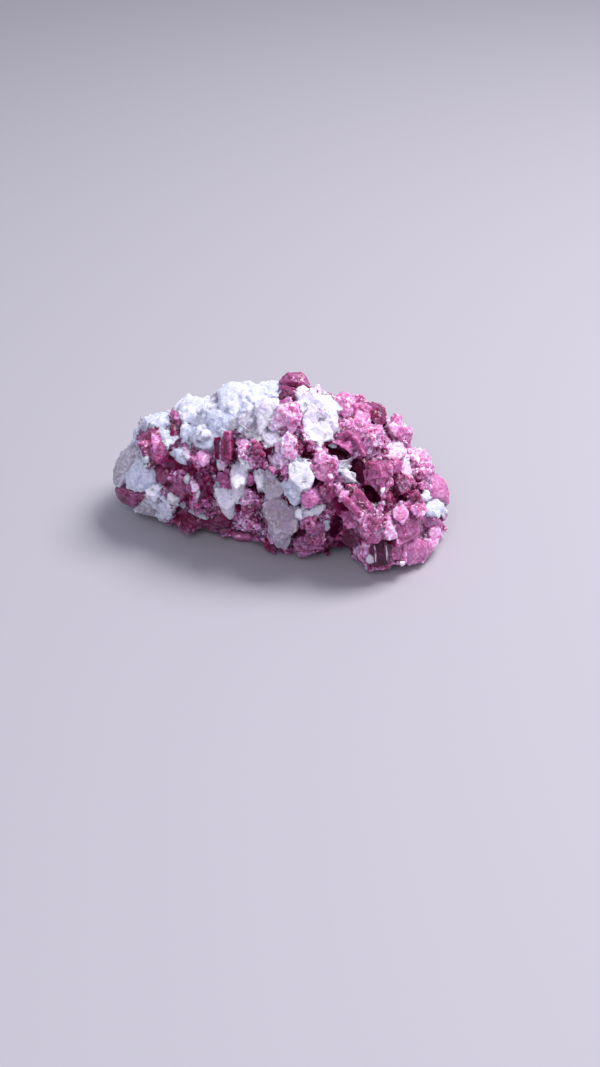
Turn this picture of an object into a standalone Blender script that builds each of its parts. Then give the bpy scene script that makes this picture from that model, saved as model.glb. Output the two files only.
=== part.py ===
"""Rough tourmaline: one loose stone of pink tourmaline grains grown together with white albite and quartz.

The stone is a single body. An uneven core sets its mass. Crystals with flat faces stand on the core and are
fused to it, clefts and an undercut are cut into it, and it is trimmed flat where it touches the ground.

X runs along the stone, +Z is up, and the side with most crystals faces -Y. The origin is the centre of the
bounding box, at the ground. Lengths are in millimetres until the finished mesh is turned into metres.
"""

import math
import random

import bmesh
import bpy
from mathutils import Matrix, Vector
from mathutils.bvhtree import BVHTree

MM = 0.001

# Driving dimensions of the core, in millimetres.
CORE_LENGTH = 25.0
CORE_DEPTH = 12.4
CORE_HEIGHT = 11.8

PINK, WHITE = 0, 1

# Grains of the crust for each mineral: how far across, how far they stand out of the core, and their shapes.
# The white mineral is more massive: larger grains that stand out less.
GRAINS = {
    PINK: {"size": (2.0, 3.4), "proud": (0.20, 0.85), "shapes": ("block", "block", "prism", "lump")},
    WHITE: {"size": (2.2, 3.6), "proud": (0.20, 0.70), "shapes": ("lump", "block", "block")},
}
GRAIN_MIDDLE = 0.45  # how far under its top a grain's middle lies, as a share of its size
GRAIN_SPREAD = (0.75, 1.15)  # a grain's sizes along its own axes, as shares of its size
GRAIN_SWAY = 0.7  # how far a grain may lean from the core's outward direction, in radians
GRAIN_CLOSENESS = 0.35  # how close two grains' middles may be, as a share of their sizes together
GRAIN_TRIES = 9000
GRAIN_SEED = 5

# The core's stations: place along the length (-0.5 to 0.5), centre across and up, half width across and
# half height, all as shares of the driving dimensions.
STATIONS = (
    (-0.498, 0.08, 0.27, 0.17, 0.19),
    (-0.455, 0.08, 0.28, 0.30, 0.29),
    (-0.350, 0.08, 0.35, 0.39, 0.36),
    (-0.210, 0.07, 0.43, 0.44, 0.41),
    (-0.060, 0.06, 0.49, 0.47, 0.47),
    (0.060, 0.05, 0.48, 0.47, 0.47),
    (0.200, 0.04, 0.42, 0.45, 0.42),
    (0.330, 0.02, 0.34, 0.41, 0.33),
    (0.400, 0.01, 0.28, 0.35, 0.24),
    (0.455, 0.01, 0.27, 0.24, 0.18),
)
STATION_SIDES = 15
SQUARENESS = 2.4  # 2 is an ellipse, more is boxier
CORE_UNEVENNESS = 0.35  # how far a corner of the core may be off its place
CORE_SEED = 3

# The display side is laid out as it is seen from one point. Places on it are (across, up) in millimetres
# from SIGHT_CENTRE, measured square to the line of sight.
SIGHT_TURN = math.radians(15)
SIGHT_TILT = math.radians(30)
SIGHT_DISTANCE = 114.0
SIGHT_CENTRE = Vector((0.0, 0.0, 6.3))
BEYOND_EDGE = 0.4  # how far outside the core a crystal sits whose line of sight misses it

# Crystals that give the display side its pattern:
# (across, up, width, height, depth, lean, toward, shape, mineral). lean is the direction of the height in
# the display plane, in degrees from "across", and toward tips it to the viewer.
KEY_CRYSTALS = (
    # the crest and its white plates
    (1.1, 5.8, 2.5, 2.2, 2.6, 90, 0, "lump", PINK),
    (0.4, 4.7, 1.5, 1.5, 1.8, 60, 0, "block", PINK),
    (2.7, 3.2, 3.2, 4.0, 2.0, 104, 10, "shard", WHITE),
    (-1.2, 3.2, 2.2, 3.4, 2.0, 80, 15, "shard", WHITE),
    (0.5, 2.7, 1.9, 3.0, 2.0, 95, 15, "block", PINK),
    (0.6, 0.8, 2.0, 1.8, 1.8, 40, 10, "block", PINK),
    # the right shoulder
    (4.8, 4.0, 2.6, 2.4, 2.4, 120, 10, "lump", PINK),
    (5.9, 3.2, 2.4, 2.4, 2.4, 130, 10, "block", PINK),
    (7.1, 3.3, 2.2, 2.0, 2.4, 120, 0, "lump", PINK),
    (9.0, 2.0, 2.2, 2.0, 2.2, 140, 0, "block", PINK),
    (5.0, 1.4, 2.2, 2.2, 2.0, 120, 20, "block", PINK),
    (6.6, 1.2, 2.2, 2.4, 2.2, 80, 10, "block", PINK),
    (7.3, -1.5, 2.2, 2.6, 2.2, 80, 12, "block", PINK),
    (9.1, -1.8, 2.2, 2.0, 2.2, 20, 10, "block", PINK),
    (10.3, -0.6, 2.4, 2.2, 2.4, 90, 0, "lump", PINK),
    # the right end
    (12.0, -2.9, 2.2, 2.4, 2.4, 90, 0, "lump", PINK),
    (11.8, -4.2, 1.6, 1.4, 1.8, 20, 0, "lump", WHITE),
    (11.2, -5.9, 2.4, 2.8, 2.4, 110, 0, "lump", PINK),
    (10.4, -7.3, 2.6, 2.6, 2.2, 100, 0, "lump", PINK),
    (9.1, -4.4, 1.5, 1.4, 1.6, 30, 0, "block", PINK),
    # the foot with its clear prism
    (7.4, -7.2, 2.2, 2.6, 2.2, 95, 8, "prism", PINK),
    (6.1, -7.1, 1.9, 2.0, 2.0, 70, 0, "lump", PINK),
    (8.8, -7.1, 1.6, 2.6, 1.8, 90, 0, "block", PINK),
    (7.0, -5.5, 2.6, 2.0, 2.2, 20, 10, "block", PINK),
    (5.2, -4.6, 1.4, 1.9, 1.4, -60, 20, "block", PINK),
    # below the middle
    (1.3, -1.5, 2.5, 3.4, 1.8, 75, 8, "shard", WHITE),
    (0.0, -3.9, 3.0, 4.8, 2.0, 96, 0, "shard", WHITE),
    (0.2, -6.9, 2.6, 2.2, 2.4, 0, 0, "lump", PINK),
    (-1.4, -6.2, 2.4, 2.0, 2.4, 0, 0, "block", PINK),
    (1.9, -4.2, 2.2, 1.5, 1.4, 10, 0, "shard", WHITE),
    (2.3, -2.9, 1.9, 1.8, 2.0, 30, 0, "lump", PINK),
    (2.6, -6.2, 2.4, 2.4, 2.4, 60, 0, "lump", PINK),
    (3.3, -0.8, 2.0, 2.6, 1.8, -40, 0, "block", PINK),
    # the left, from the crest down
    (-2.2, 4.4, 2.8, 2.8, 2.4, 80, 0, "lump", WHITE),
    (-3.8, 4.7, 3.0, 2.6, 2.8, 90, 0, "lump", WHITE),
    (-2.8, 2.4, 2.2, 2.4, 2.0, 90, 0, "lump", WHITE),
    (-5.3, 3.0, 2.8, 2.8, 2.2, 80, 0, "lump", WHITE),
    (-7.2, 3.1, 2.8, 2.8, 2.6, 110, 0, "lump", WHITE),
    (-5.9, 1.6, 2.2, 1.6, 1.8, 0, 0, "lump", WHITE),
    (-9.2, 2.0, 2.4, 2.6, 2.2, 100, 0, "lump", WHITE),
    (-9.8, 0.6, 2.2, 2.2, 1.6, 110, 0, "block", PINK),
    (-11.4, -1.2, 3.2, 3.6, 2.8, 70, 0, "lump", WHITE),
    (-11.2, -3.0, 2.6, 1.8, 2.4, 0, 0, "lump", PINK),
    (-9.6, -2.5, 1.6, 1.8, 1.8, 40, 0, "shard", WHITE),
    (-4.2, 0.9, 1.1, 2.3, 1.5, 88, 0, "prism", PINK),
    (-3.2, -1.5, 1.5, 3.0, 1.4, 75, 0, "shard", WHITE),
    (-4.4, -2.9, 1.5, 2.4, 1.4, 100, 0, "shard", WHITE),
    (-8.5, -2.9, 2.0, 1.9, 2.0, 40, 0, "block", PINK),
    (-6.3, -2.6, 2.0, 2.0, 1.8, 120, 0, "block", PINK),
    (-2.8, -3.3, 2.2, 2.2, 1.8, 60, 0, "block", PINK),
    (-2.4, 0.2, 2.2, 2.0, 1.8, 20, 0, "block", PINK),
)
KEY_PROUD = 0.95  # how far the face of a key crystal stands out of the core, along the line of sight
KEY_FACE = 0.85  # where that face lies, as a share of half the crystal's depth
KEY_SEED = 5
KEY_CLEARANCE = 0.9  # no grain of the crust starts nearer than this to a key crystal

# Slender prisms that lie across the main cleft, in the same terms.
CLEFT_PRISMS = (
    (5.1, -3.3, 0.95, 3.5, 1.2, -48, 20, "prism", PINK),
    (6.0, -3.2, 1.10, 2.4, 1.3, -50, 20, "prism", PINK),
)

# Clefts of the display side: (across, up, width, height, lean, how deep). A cutter also reaches out of the
# core by CLEFT_OUTSIDE, so that it clears the crust.
CLEFTS = (
    (4.4, 0.5, 1.1, 2.6, -25, 2.6),
    (5.8, -0.9, 1.7, 3.1, -62, 3.6),
    (6.9, -2.9, 1.2, 2.4, -50, 2.6),
    (4.3, -6.9, 2.1, 3.4, 75, 4.5),
    (4.2, -5.2, 1.4, 3.2, 80, 2.8),
)
CLEFT_OUTSIDE = 2.5
CLEFT_SEED = 9

# Crystals that carry the stone: (x, y, width, length, height).
FEET = (
    (7.2, -3.1, 3.4, 3.0, 3.0),
    (1.2, -3.2, 3.2, 2.6, 3.0),
    (-4.8, 3.6, 3.4, 3.0, 3.4),
    (6.0, 4.2, 3.2, 3.0, 3.2),
)
FOOT_BURIED = 0.35  # how far a foot reaches below the ground before the trim
FOOT_SEED = 2

# The white minerals hold the places for which this direction, in shares of the length, the depth and the
# height, reaches further than the limit: the left of the crest, and the back.
MATRIX_DIRECTION = Vector((-1.6, 0.4, 0.7))
MATRIX_LIMIT = 0.32

FLAT_ANGLE = math.radians(0.5)  # faces nearer to one plane than this are merged
GROUND_BLOCK = 80.0


def sight_axes():
    """Across, up and toward the viewer, as unit vectors of the stone's frame."""
    toward = Vector(
        (
            math.sin(SIGHT_TURN) * math.cos(SIGHT_TILT),
            -math.cos(SIGHT_TURN) * math.cos(SIGHT_TILT),
            math.sin(SIGHT_TILT),
        )
    )
    across = Vector((math.cos(SIGHT_TURN), math.sin(SIGHT_TURN), 0.0))
    return across, toward.cross(across), toward


ACROSS, UP, TOWARD = sight_axes()


def superellipse(angle):
    """A point of a rounded square of half size 1."""
    c, s = math.cos(angle), math.sin(angle)
    power = 2.0 / SQUARENESS
    return math.copysign(abs(c) ** power, c), math.copysign(abs(s) ** power, s)


def core_mesh():
    """The stone's mass: rings of a rounded square at each station, bridged and capped."""
    rng = random.Random(CORE_SEED)
    bm = bmesh.new()
    rings = []
    for along, across, up, half_across, half_up in STATIONS:
        ring = []
        for i in range(STATION_SIDES):
            y, z = superellipse(math.tau * i / STATION_SIDES)
            place = Vector(
                (
                    along * CORE_LENGTH,
                    (across + y * half_across) * CORE_DEPTH,
                    (up + z * half_up) * CORE_HEIGHT,
                )
            )
            off = Vector([rng.uniform(-CORE_UNEVENNESS, CORE_UNEVENNESS) for _ in range(3)])
            ring.append(bm.verts.new(place + off))
        rings.append(ring)
    for first, second in zip(rings, rings[1:]):
        for i in range(STATION_SIDES):
            j = (i + 1) % STATION_SIDES
            bm.faces.new((first[i], first[j], second[j], second[i]))
    bm.faces.new(reversed(rings[0]))
    bm.faces.new(rings[-1])
    bmesh.ops.recalc_face_normals(bm, faces=bm.faces)
    bmesh.ops.triangulate(bm, faces=bm.faces)
    return bm


def prism_points(rng, sides=6):
    """A slightly tapered prism about Y, with ends that aren't quite square."""
    turn = rng.uniform(0, math.tau / sides)
    slope = rng.uniform(-0.15, 0.15)
    points = []
    for i in range(sides):
        angle = turn + math.tau * (i + rng.uniform(-0.12, 0.12)) / sides
        x, z = math.cos(angle), math.sin(angle)
        for end, taper in ((-1, 1.0), (1, 0.86)):
            points.append(Vector((x * taper, end + slope * x, z * taper)))
    return points


def block_points(rng):
    """A broken block: the corners of a box, each moved, and two of them broken off."""
    corners = [(x, y, z) for x in (-1, 1) for y in (-1, 1) for z in (-1, 1)]
    broken = rng.sample(range(8), 2)
    points = []
    for i, corner in enumerate(corners):
        place = Vector([c * rng.uniform(0.66, 1.0) for c in corner])
        if i not in broken:
            points.append(place)
            continue
        for axis in range(3):
            cut = place.copy()
            cut[axis] *= rng.uniform(0.0, 0.4)
            points.append(cut)
    return points


def lump_points(rng, count=12):
    """A rounded grain: points spread evenly over a sphere, each moved a little."""
    golden = math.pi * (3 - math.sqrt(5))
    points = []
    for i in range(count):
        y = 1 - 2 * (i + 0.5) / count
        radius = math.sqrt(1 - y * y)
        angle = golden * i
        place = Vector((radius * math.cos(angle), y, radius * math.sin(angle)))
        points.append(place * rng.uniform(0.86, 1.06))
    return points


def shard_points(rng, sides=8):
    """A broken plate across Z: an uneven outline, with a smaller face at the front and at the back."""
    points = []
    for i in range(sides):
        angle = math.tau * (i + rng.uniform(-0.35, 0.35)) / sides
        reach = rng.uniform(0.80, 1.16)
        x, y = reach * math.cos(angle), reach * math.sin(angle)
        slope = 0.25 * x - 0.15 * y
        for share, z in ((rng.uniform(0.6, 0.98), 1.0), (1.0, rng.uniform(0.2, 0.7)), (0.9, -1.0)):
            points.append(Vector((x * share, y * share, z + slope)))
    return points


SHAPES = {"prism": prism_points, "block": block_points, "lump": lump_points, "shard": shard_points}


def frame_matrix(x_axis, y_axis, z_axis, place):
    """A matrix that carries local axes to these ones, at this place."""
    columns = Matrix((x_axis, y_axis, z_axis)).transposed().to_4x4()
    return Matrix.Translation(place) @ columns


def add_crystal(group, rng, shape, sizes, matrix, mineral, materials):
    """One convex crystal of the given shape, in its own object of the group."""
    bm = bmesh.new()
    half = Matrix.Diagonal((*(size / 2 for size in sizes), 1.0))
    for point in SHAPES[shape](rng):
        bm.verts.new(matrix @ half @ point)
    bmesh.ops.convex_hull(bm, input=bm.verts)
    bmesh.ops.delete(bm, geom=[v for v in bm.verts if not v.link_faces], context="VERTS")
    bmesh.ops.recalc_face_normals(bm, faces=bm.faces)
    mesh = bpy.data.meshes.new("crystal")
    bm.to_mesh(mesh)
    bm.free()
    mesh.materials.append(materials[mineral])
    crystal = bpy.data.objects.new("crystal", mesh)
    crystal.hide_render = True
    crystal.display_type = "WIRE"
    group.objects.link(crystal)


def display_matrix(place, lean, toward):
    """The frame of a crystal whose height leans in the display plane and tips to the viewer."""
    angle, tip = math.radians(lean), math.radians(toward)
    flat = ACROSS * math.cos(angle) + UP * math.sin(angle)
    height = flat * math.cos(tip) + TOWARD * math.sin(tip)
    width = height.cross(TOWARD).normalized()
    return frame_matrix(width, height, width.cross(height), place)


def sight_hit(core, across, up):
    """Where the line of sight at this place of the display side meets the core."""
    eye = SIGHT_CENTRE + TOWARD * SIGHT_DISTANCE
    target = SIGHT_CENTRE + ACROSS * across + UP * up
    hit = core.ray_cast(eye, (target - eye).normalized())[0]
    if hit is None:
        hit = core.find_nearest(target)[0]
        hit = hit + (target - hit).normalized() * BEYOND_EDGE
    return hit


def add_key_crystals(group, core, materials, crystals):
    """The crystals that are named by their place on the display side."""
    rng = random.Random(KEY_SEED)
    for across, up, width, height, depth, lean, toward, shape, mineral in crystals:
        place = sight_hit(core, across, up) + TOWARD * (KEY_PROUD - depth / 2 * KEY_FACE)
        matrix = display_matrix(place, lean, toward)
        add_crystal(group, rng, shape, (width, height, depth), matrix, mineral, materials)


def is_matrix(place):
    """Whether the white minerals hold this place."""
    share = Vector((place.x / CORE_LENGTH, place.y / CORE_DEPTH, place.z / CORE_HEIGHT - 0.5))
    return share.dot(MATRIX_DIRECTION) > MATRIX_LIMIT


def spaced_grains(core_bm, rng, taken):
    """Random grains on the core as (place, outward, mineral, size), spaced by their sizes."""
    faces = list(core_bm.faces)
    weights = [face.calc_area() for face in faces]
    grains = []
    for face in rng.choices(faces, weights, k=GRAIN_TRIES):
        a, b = sorted((rng.random(), rng.random()))
        corners = [vert.co for vert in face.verts]
        place = corners[0] * a + corners[1] * (b - a) + corners[2] * (1 - b)
        if any((place - other).length < KEY_CLEARANCE for other in taken):
            continue
        mineral = WHITE if is_matrix(place) else PINK
        size = rng.uniform(*GRAINS[mineral]["size"])
        if all((place - other[0]).length > GRAIN_CLOSENESS * (size + other[3]) for other in grains):
            grains.append((place, face.normal.copy(), mineral, size))
    return grains


def add_grains(group, core_bm, core, materials):
    """The crust: grains of both minerals spread over the core, between the key crystals."""
    rng = random.Random(GRAIN_SEED)
    taken = [sight_hit(core, row[0], row[1]) for row in KEY_CRYSTALS]
    for place, outward, mineral, size in spaced_grains(core_bm, rng, taken):
        shape = rng.choice(GRAINS[mineral]["shapes"])
        sizes = [size * rng.uniform(*GRAIN_SPREAD) for _ in range(3)]
        spin = Matrix.Rotation(rng.uniform(0, math.tau), 4, "Y")
        tilt = outward.to_track_quat("Y", "Z").to_matrix().to_4x4()
        sway = Matrix.Rotation(rng.uniform(-GRAIN_SWAY, GRAIN_SWAY), 4, "X")
        sunk = place - outward * (GRAIN_MIDDLE * size - rng.uniform(*GRAINS[mineral]["proud"]))
        matrix = Matrix.Translation(sunk) @ tilt @ sway @ spin
        add_crystal(group, rng, shape, sizes, matrix, mineral, materials)


def add_feet(group, materials):
    """The crystals that the stone stands on. They reach a little below the ground, where it is trimmed."""
    rng = random.Random(FOOT_SEED)
    for x, y, width, length, height in FEET:
        place = Vector((x, y, height / 2 - FOOT_BURIED))
        add_crystal(group, rng, "lump", (width, length, height), Matrix.Translation(place), PINK, materials)


def add_clefts(group, core, materials):
    """Cutters for the clefts: blocks that reach into the stone along the line of sight."""
    rng = random.Random(CLEFT_SEED)
    for across, up, width, height, lean, deep in CLEFTS:
        place = sight_hit(core, across, up) + TOWARD * (CLEFT_OUTSIDE - deep) / 2
        matrix = display_matrix(place, lean, 0)
        add_crystal(group, rng, "lump", (width, height, CLEFT_OUTSIDE + deep), matrix, PINK, materials)


def add_ground_cutter(group):
    """A wide block below the ground, which trims what reaches under it."""
    bm = bmesh.new()
    bmesh.ops.create_cube(bm, size=GROUND_BLOCK, matrix=Matrix.Translation((0, 0, -GROUND_BLOCK / 2)))
    mesh = bpy.data.meshes.new("ground_cutter")
    bm.to_mesh(mesh)
    bm.free()
    cutter = bpy.data.objects.new("ground_cutter", mesh)
    cutter.hide_render = True
    cutter.display_type = "WIRE"
    group.objects.link(cutter)


def new_group(name):
    """A collection for helpers, which the finished stone doesn't show."""
    group = bpy.data.collections.new(name)
    bpy.context.scene.collection.children.link(group)
    return group


def combine(stone, operation, group):
    """Joins or cuts the stone with every helper of the group, then removes the helpers."""
    modifier = stone.modifiers.new(group.name, "BOOLEAN")
    modifier.operation = operation
    modifier.operand_type = "COLLECTION"
    modifier.collection = group
    modifier.solver = "EXACT"
    modifier.material_mode = "TRANSFER"
    graph = bpy.context.evaluated_depsgraph_get()
    stone.data = bpy.data.meshes.new_from_object(stone.evaluated_get(graph))
    stone.modifiers.clear()
    for helper in list(group.objects):
        bpy.data.objects.remove(helper)
    bpy.data.collections.remove(group)


def largest_body(bm):
    """Deletes every loose body but the largest, such as a chip that a cleft has cut free."""
    left, bodies = set(bm.verts), []
    while left:
        body, queue = set(), [left.pop()]
        while queue:
            vert = queue.pop()
            body.add(vert)
            for edge in vert.link_edges:
                other = edge.other_vert(vert)
                if other in left:
                    left.remove(other)
                    queue.append(other)
        bodies.append(body)
    bodies.sort(key=len)
    for body in bodies[:-1]:
        bmesh.ops.delete(bm, geom=list(body), context="VERTS")


def finish_mesh(stone):
    """Merges flat neighbours, turns the mesh into metres and puts the origin under its middle."""
    bm = bmesh.new()
    bm.from_mesh(stone.data)
    largest_body(bm)
    bmesh.ops.dissolve_limit(
        bm, angle_limit=FLAT_ANGLE, verts=bm.verts, edges=bm.edges, delimit={"MATERIAL"}
    )
    bmesh.ops.triangulate(bm, faces=bm.faces)
    low = Vector([min(v.co[i] for v in bm.verts) for i in range(3)])
    high = Vector([max(v.co[i] for v in bm.verts) for i in range(3)])
    centre = (low + high) / 2
    bmesh.ops.translate(bm, verts=bm.verts, vec=(-centre.x, -centre.y, -low.z))
    bmesh.ops.scale(bm, verts=bm.verts, vec=(MM, MM, MM))
    bm.to_mesh(stone.data)
    bm.free()


def make_material(name, colour, roughness):
    """A plain Principled material."""
    material = bpy.data.materials.new(name)
    material.use_nodes = True
    shader = material.node_tree.nodes["Principled BSDF"]
    shader.inputs["Base Color"].default_value = (*colour, 1.0)
    shader.inputs["Roughness"].default_value = roughness
    shader.inputs["Metallic"].default_value = 0.0
    return material


def build_stone():
    """The whole stone as one object."""
    materials = (
        make_material("pink_tourmaline", (0.52, 0.13, 0.30), 0.25),
        make_material("white_albite", (0.78, 0.78, 0.82), 0.45),
    )
    core_bm = core_mesh()
    core = BVHTree.FromBMesh(core_bm)
    stone = bpy.data.objects.new("rough_tourmaline", bpy.data.meshes.new("rough_tourmaline"))
    bpy.context.scene.collection.objects.link(stone)
    for face in core_bm.faces:
        face.material_index = WHITE if is_matrix(face.calc_center_median()) else PINK
    core_bm.to_mesh(stone.data)
    for material in materials:
        stone.data.materials.append(material)
    crystals = new_group("crystals")
    add_grains(crystals, core_bm, core, materials)
    add_feet(crystals, materials)
    combine(stone, "UNION", crystals)
    keys = new_group("keys")
    add_key_crystals(keys, core, materials, KEY_CRYSTALS)
    combine(stone, "UNION", keys)
    cuts = new_group("cuts")
    add_clefts(cuts, core, materials)
    combine(stone, "DIFFERENCE", cuts)
    prisms = new_group("prisms")
    add_key_crystals(prisms, core, materials, CLEFT_PRISMS)
    combine(stone, "UNION", prisms)
    ground = new_group("ground")
    add_ground_cutter(ground)
    combine(stone, "DIFFERENCE", ground)
    finish_mesh(stone)
    core_bm.free()


for old in list(bpy.data.objects):
    bpy.data.objects.remove(old)
build_stone()
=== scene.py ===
import collections
import itertools
import math
import random

import bmesh
import bpy
import numpy as np
from mathutils import Matrix, Vector, noise
from mathutils.bvhtree import BVHTree


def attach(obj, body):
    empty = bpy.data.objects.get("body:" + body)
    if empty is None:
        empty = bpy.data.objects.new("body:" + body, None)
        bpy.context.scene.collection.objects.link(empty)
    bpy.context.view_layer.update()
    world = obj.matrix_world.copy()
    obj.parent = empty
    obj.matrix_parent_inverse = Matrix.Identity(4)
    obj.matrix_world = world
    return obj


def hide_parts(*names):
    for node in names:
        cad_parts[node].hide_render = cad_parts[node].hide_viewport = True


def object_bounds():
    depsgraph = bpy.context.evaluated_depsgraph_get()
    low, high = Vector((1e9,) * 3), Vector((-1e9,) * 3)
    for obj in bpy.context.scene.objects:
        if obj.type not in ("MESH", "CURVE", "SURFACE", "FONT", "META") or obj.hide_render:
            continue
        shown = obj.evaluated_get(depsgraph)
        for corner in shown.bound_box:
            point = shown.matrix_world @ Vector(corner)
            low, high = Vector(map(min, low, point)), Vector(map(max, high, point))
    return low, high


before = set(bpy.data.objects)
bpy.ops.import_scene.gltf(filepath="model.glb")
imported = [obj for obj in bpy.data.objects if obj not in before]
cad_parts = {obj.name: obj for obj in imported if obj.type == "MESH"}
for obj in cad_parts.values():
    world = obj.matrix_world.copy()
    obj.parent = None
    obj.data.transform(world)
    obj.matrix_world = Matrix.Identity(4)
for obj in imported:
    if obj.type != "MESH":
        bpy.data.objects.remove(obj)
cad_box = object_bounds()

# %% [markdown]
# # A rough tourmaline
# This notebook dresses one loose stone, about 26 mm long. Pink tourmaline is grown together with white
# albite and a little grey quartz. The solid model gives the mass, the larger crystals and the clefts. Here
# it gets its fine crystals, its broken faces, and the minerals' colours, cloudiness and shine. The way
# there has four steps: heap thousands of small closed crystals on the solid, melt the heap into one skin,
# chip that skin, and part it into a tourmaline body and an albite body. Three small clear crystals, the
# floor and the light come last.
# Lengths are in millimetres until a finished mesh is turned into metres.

MM = 0.001
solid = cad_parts["rough_tourmaline"]
print("solid:", len(solid.data.polygons), "triangles")

# %% [markdown]
# ## The display side
# A collector turns a stone until one side looks best, and lays out the rest from there. The camera stands in
# front of that side, 30 degrees above it. Places on the stone are named as they look from there: so many
# millimetres across and up from its middle, on a plane square to the line of sight. A line from the camera
# through such a place meets the stone at one point, so every crystal that is named in this way still sits
# on the stone when it is seen from another side.

# %% The camera
VIEW_TURN = math.radians(15)
VIEW_TILT = math.radians(30)
VIEW_DISTANCE = 114.4
VIEW_CENTRE = Vector((0.29, -0.02, 6.3))
AIM = (1.39, -5.82)  # the camera looks a little right of the middle, and below it

TOWARD = Vector(
    (
        math.sin(VIEW_TURN) * math.cos(VIEW_TILT),
        -math.cos(VIEW_TURN) * math.cos(VIEW_TILT),
        math.sin(VIEW_TILT),
    )
)
ACROSS = Vector((math.cos(VIEW_TURN), math.sin(VIEW_TURN), 0.0))
UP = TOWARD.cross(ACROSS)
EYE = VIEW_CENTRE + TOWARD * VIEW_DISTANCE

camera = bpy.data.objects.new("camera", bpy.data.cameras.new("camera"))
camera.data.lens = 50
camera.data.sensor_width = 36
camera.data.clip_start = 0.005  # in metres, as the camera needs them
camera.data.clip_end = 5
camera.location = EYE * MM
aim = VIEW_CENTRE + ACROSS * AIM[0] + UP * AIM[1]
camera.rotation_mode = "QUATERNION"
camera.rotation_quaternion = (aim - EYE).to_track_quat("-Z", "Y")
bpy.context.scene.collection.objects.link(camera)
bpy.context.scene.camera = camera
print("camera at", [round(c, 1) for c in EYE], "mm")


# %% Names for places
def line_of_sight(across, up):
    """The unit vector from the camera to a place of the display plane."""
    return (VIEW_CENTRE + ACROSS * across + UP * up - EYE).normalized()


def display_place(point):
    """(across, up) of a point as the camera sees it."""
    ray = point - EYE
    on_plane = EYE + ray * (VIEW_DISTANCE / -ray.dot(TOWARD)) - VIEW_CENTRE
    return on_plane.dot(ACROSS), on_plane.dot(UP)


# %% [markdown]
# ## Which mineral is where
# Tourmaline and albite crystallised side by side, so the stone is a patchwork. Each patch below is an
# ellipse on the display side: where it is, how large, how far it is turned, and what grows there. A later
# patch lies over an earlier one. Outside all patches, and on the sides that the display side doesn't show,
# a simple rule holds: the white minerals have the left of the crest and the back, tourmaline has the rest.
# A growth is a mineral, a range of shades from dark to light, a range of sizes of its fine crystals, how
# densely they stand, how broken its surface is, and a shape. One table sets shapes and colours, so they
# can't drift apart.

# %% Growths
PINK, WHITE = 0, 1
Growth = collections.namedtuple("Growth", "mineral shades sizes density broken shape")
GROWTHS = {
    # sugary and rough
    "milk": Growth(WHITE, (0.45, 0.72), (0.5, 1.3), 0.50, 0.4, "lump"),
    "snow": Growth(WHITE, (0.68, 0.88), (0.5, 1.3), 0.50, 0.4, "lump"),
    "smoke": Growth(WHITE, (0.10, 0.40), (0.4, 1.0), 0.50, 0.5, "lump"),
    "olive": Growth(WHITE, (0.18, 0.26), (0.4, 0.8), 0.60, 0.7, "lump"),
    "rose": Growth(PINK, (0.24, 0.64), (0.5, 1.4), 0.90, 0.7, "block"),
    "bright": Growth(PINK, (0.50, 0.80), (0.4, 1.2), 0.80, 0.8, "block"),
    "pale": Growth(PINK, (0.70, 0.92), (0.3, 0.8), 0.90, 0.8, "block"),
    "glitter": Growth(PINK, (0.32, 0.85), (0.25, 0.6), 1.00, 1.0, "block"),
    "mauve": Growth(PINK, (0.20, 0.46), (0.6, 1.5), 0.80, 0.6, "block"),
    "wine": Growth(PINK, (0.08, 0.28), (0.6, 1.4), 0.70, 0.5, "block"),
    # gap: the darkest wine, tourmaline's own colour where thick, and painted shade in pits and clefts
    "gap": Growth(PINK, (0.00, 0.10), (0.3, 0.7), 0.15, 0.4, "block"),
    # smooth faces, with few crystals on them
    "plate": Growth(WHITE, (0.90, 1.00), (0.3, 0.6), 0.10, 0.50, "block"),
    "mist": Growth(WHITE, (0.42, 0.64), (0.3, 0.8), 0.20, 0.5, "lump"),
    "quartz": Growth(WHITE, (0.02, 0.14), (0.3, 0.9), 0.22, 0.4, "lump"),
    "petal": Growth(PINK, (0.82, 0.96), (0.3, 0.6), 0.25, 0.5, "block"),
    "candy": Growth(PINK, (0.68, 0.82), (0.3, 0.8), 0.20, 0.4, "block"),
    "rosy": Growth(PINK, (0.56, 0.68), (0.3, 0.8), 0.20, 0.4, "block"),
    "dusty": Growth(PINK, (0.42, 0.54), (0.3, 0.6), 0.08, 0.3, "block"),
    "bare": Growth(PINK, (0.30, 0.36), (0.3, 0.6), 0.00, 0.4, "block"),
    "mulberry": Growth(PINK, (0.26, 0.36), (0.3, 0.6), 0.10, 0.3, "block"),
    "maroon": Growth(PINK, (0.12, 0.22), (0.3, 0.6), 0.10, 0.3, "block"),
    # deep: the darkest wine, tourmaline's own colour where thick, and painted shade in pits and hollows
    "deep": Growth(PINK, (0.00, 0.08), (0.3, 0.5), 0.04, 0.25, "block"),
}

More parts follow.
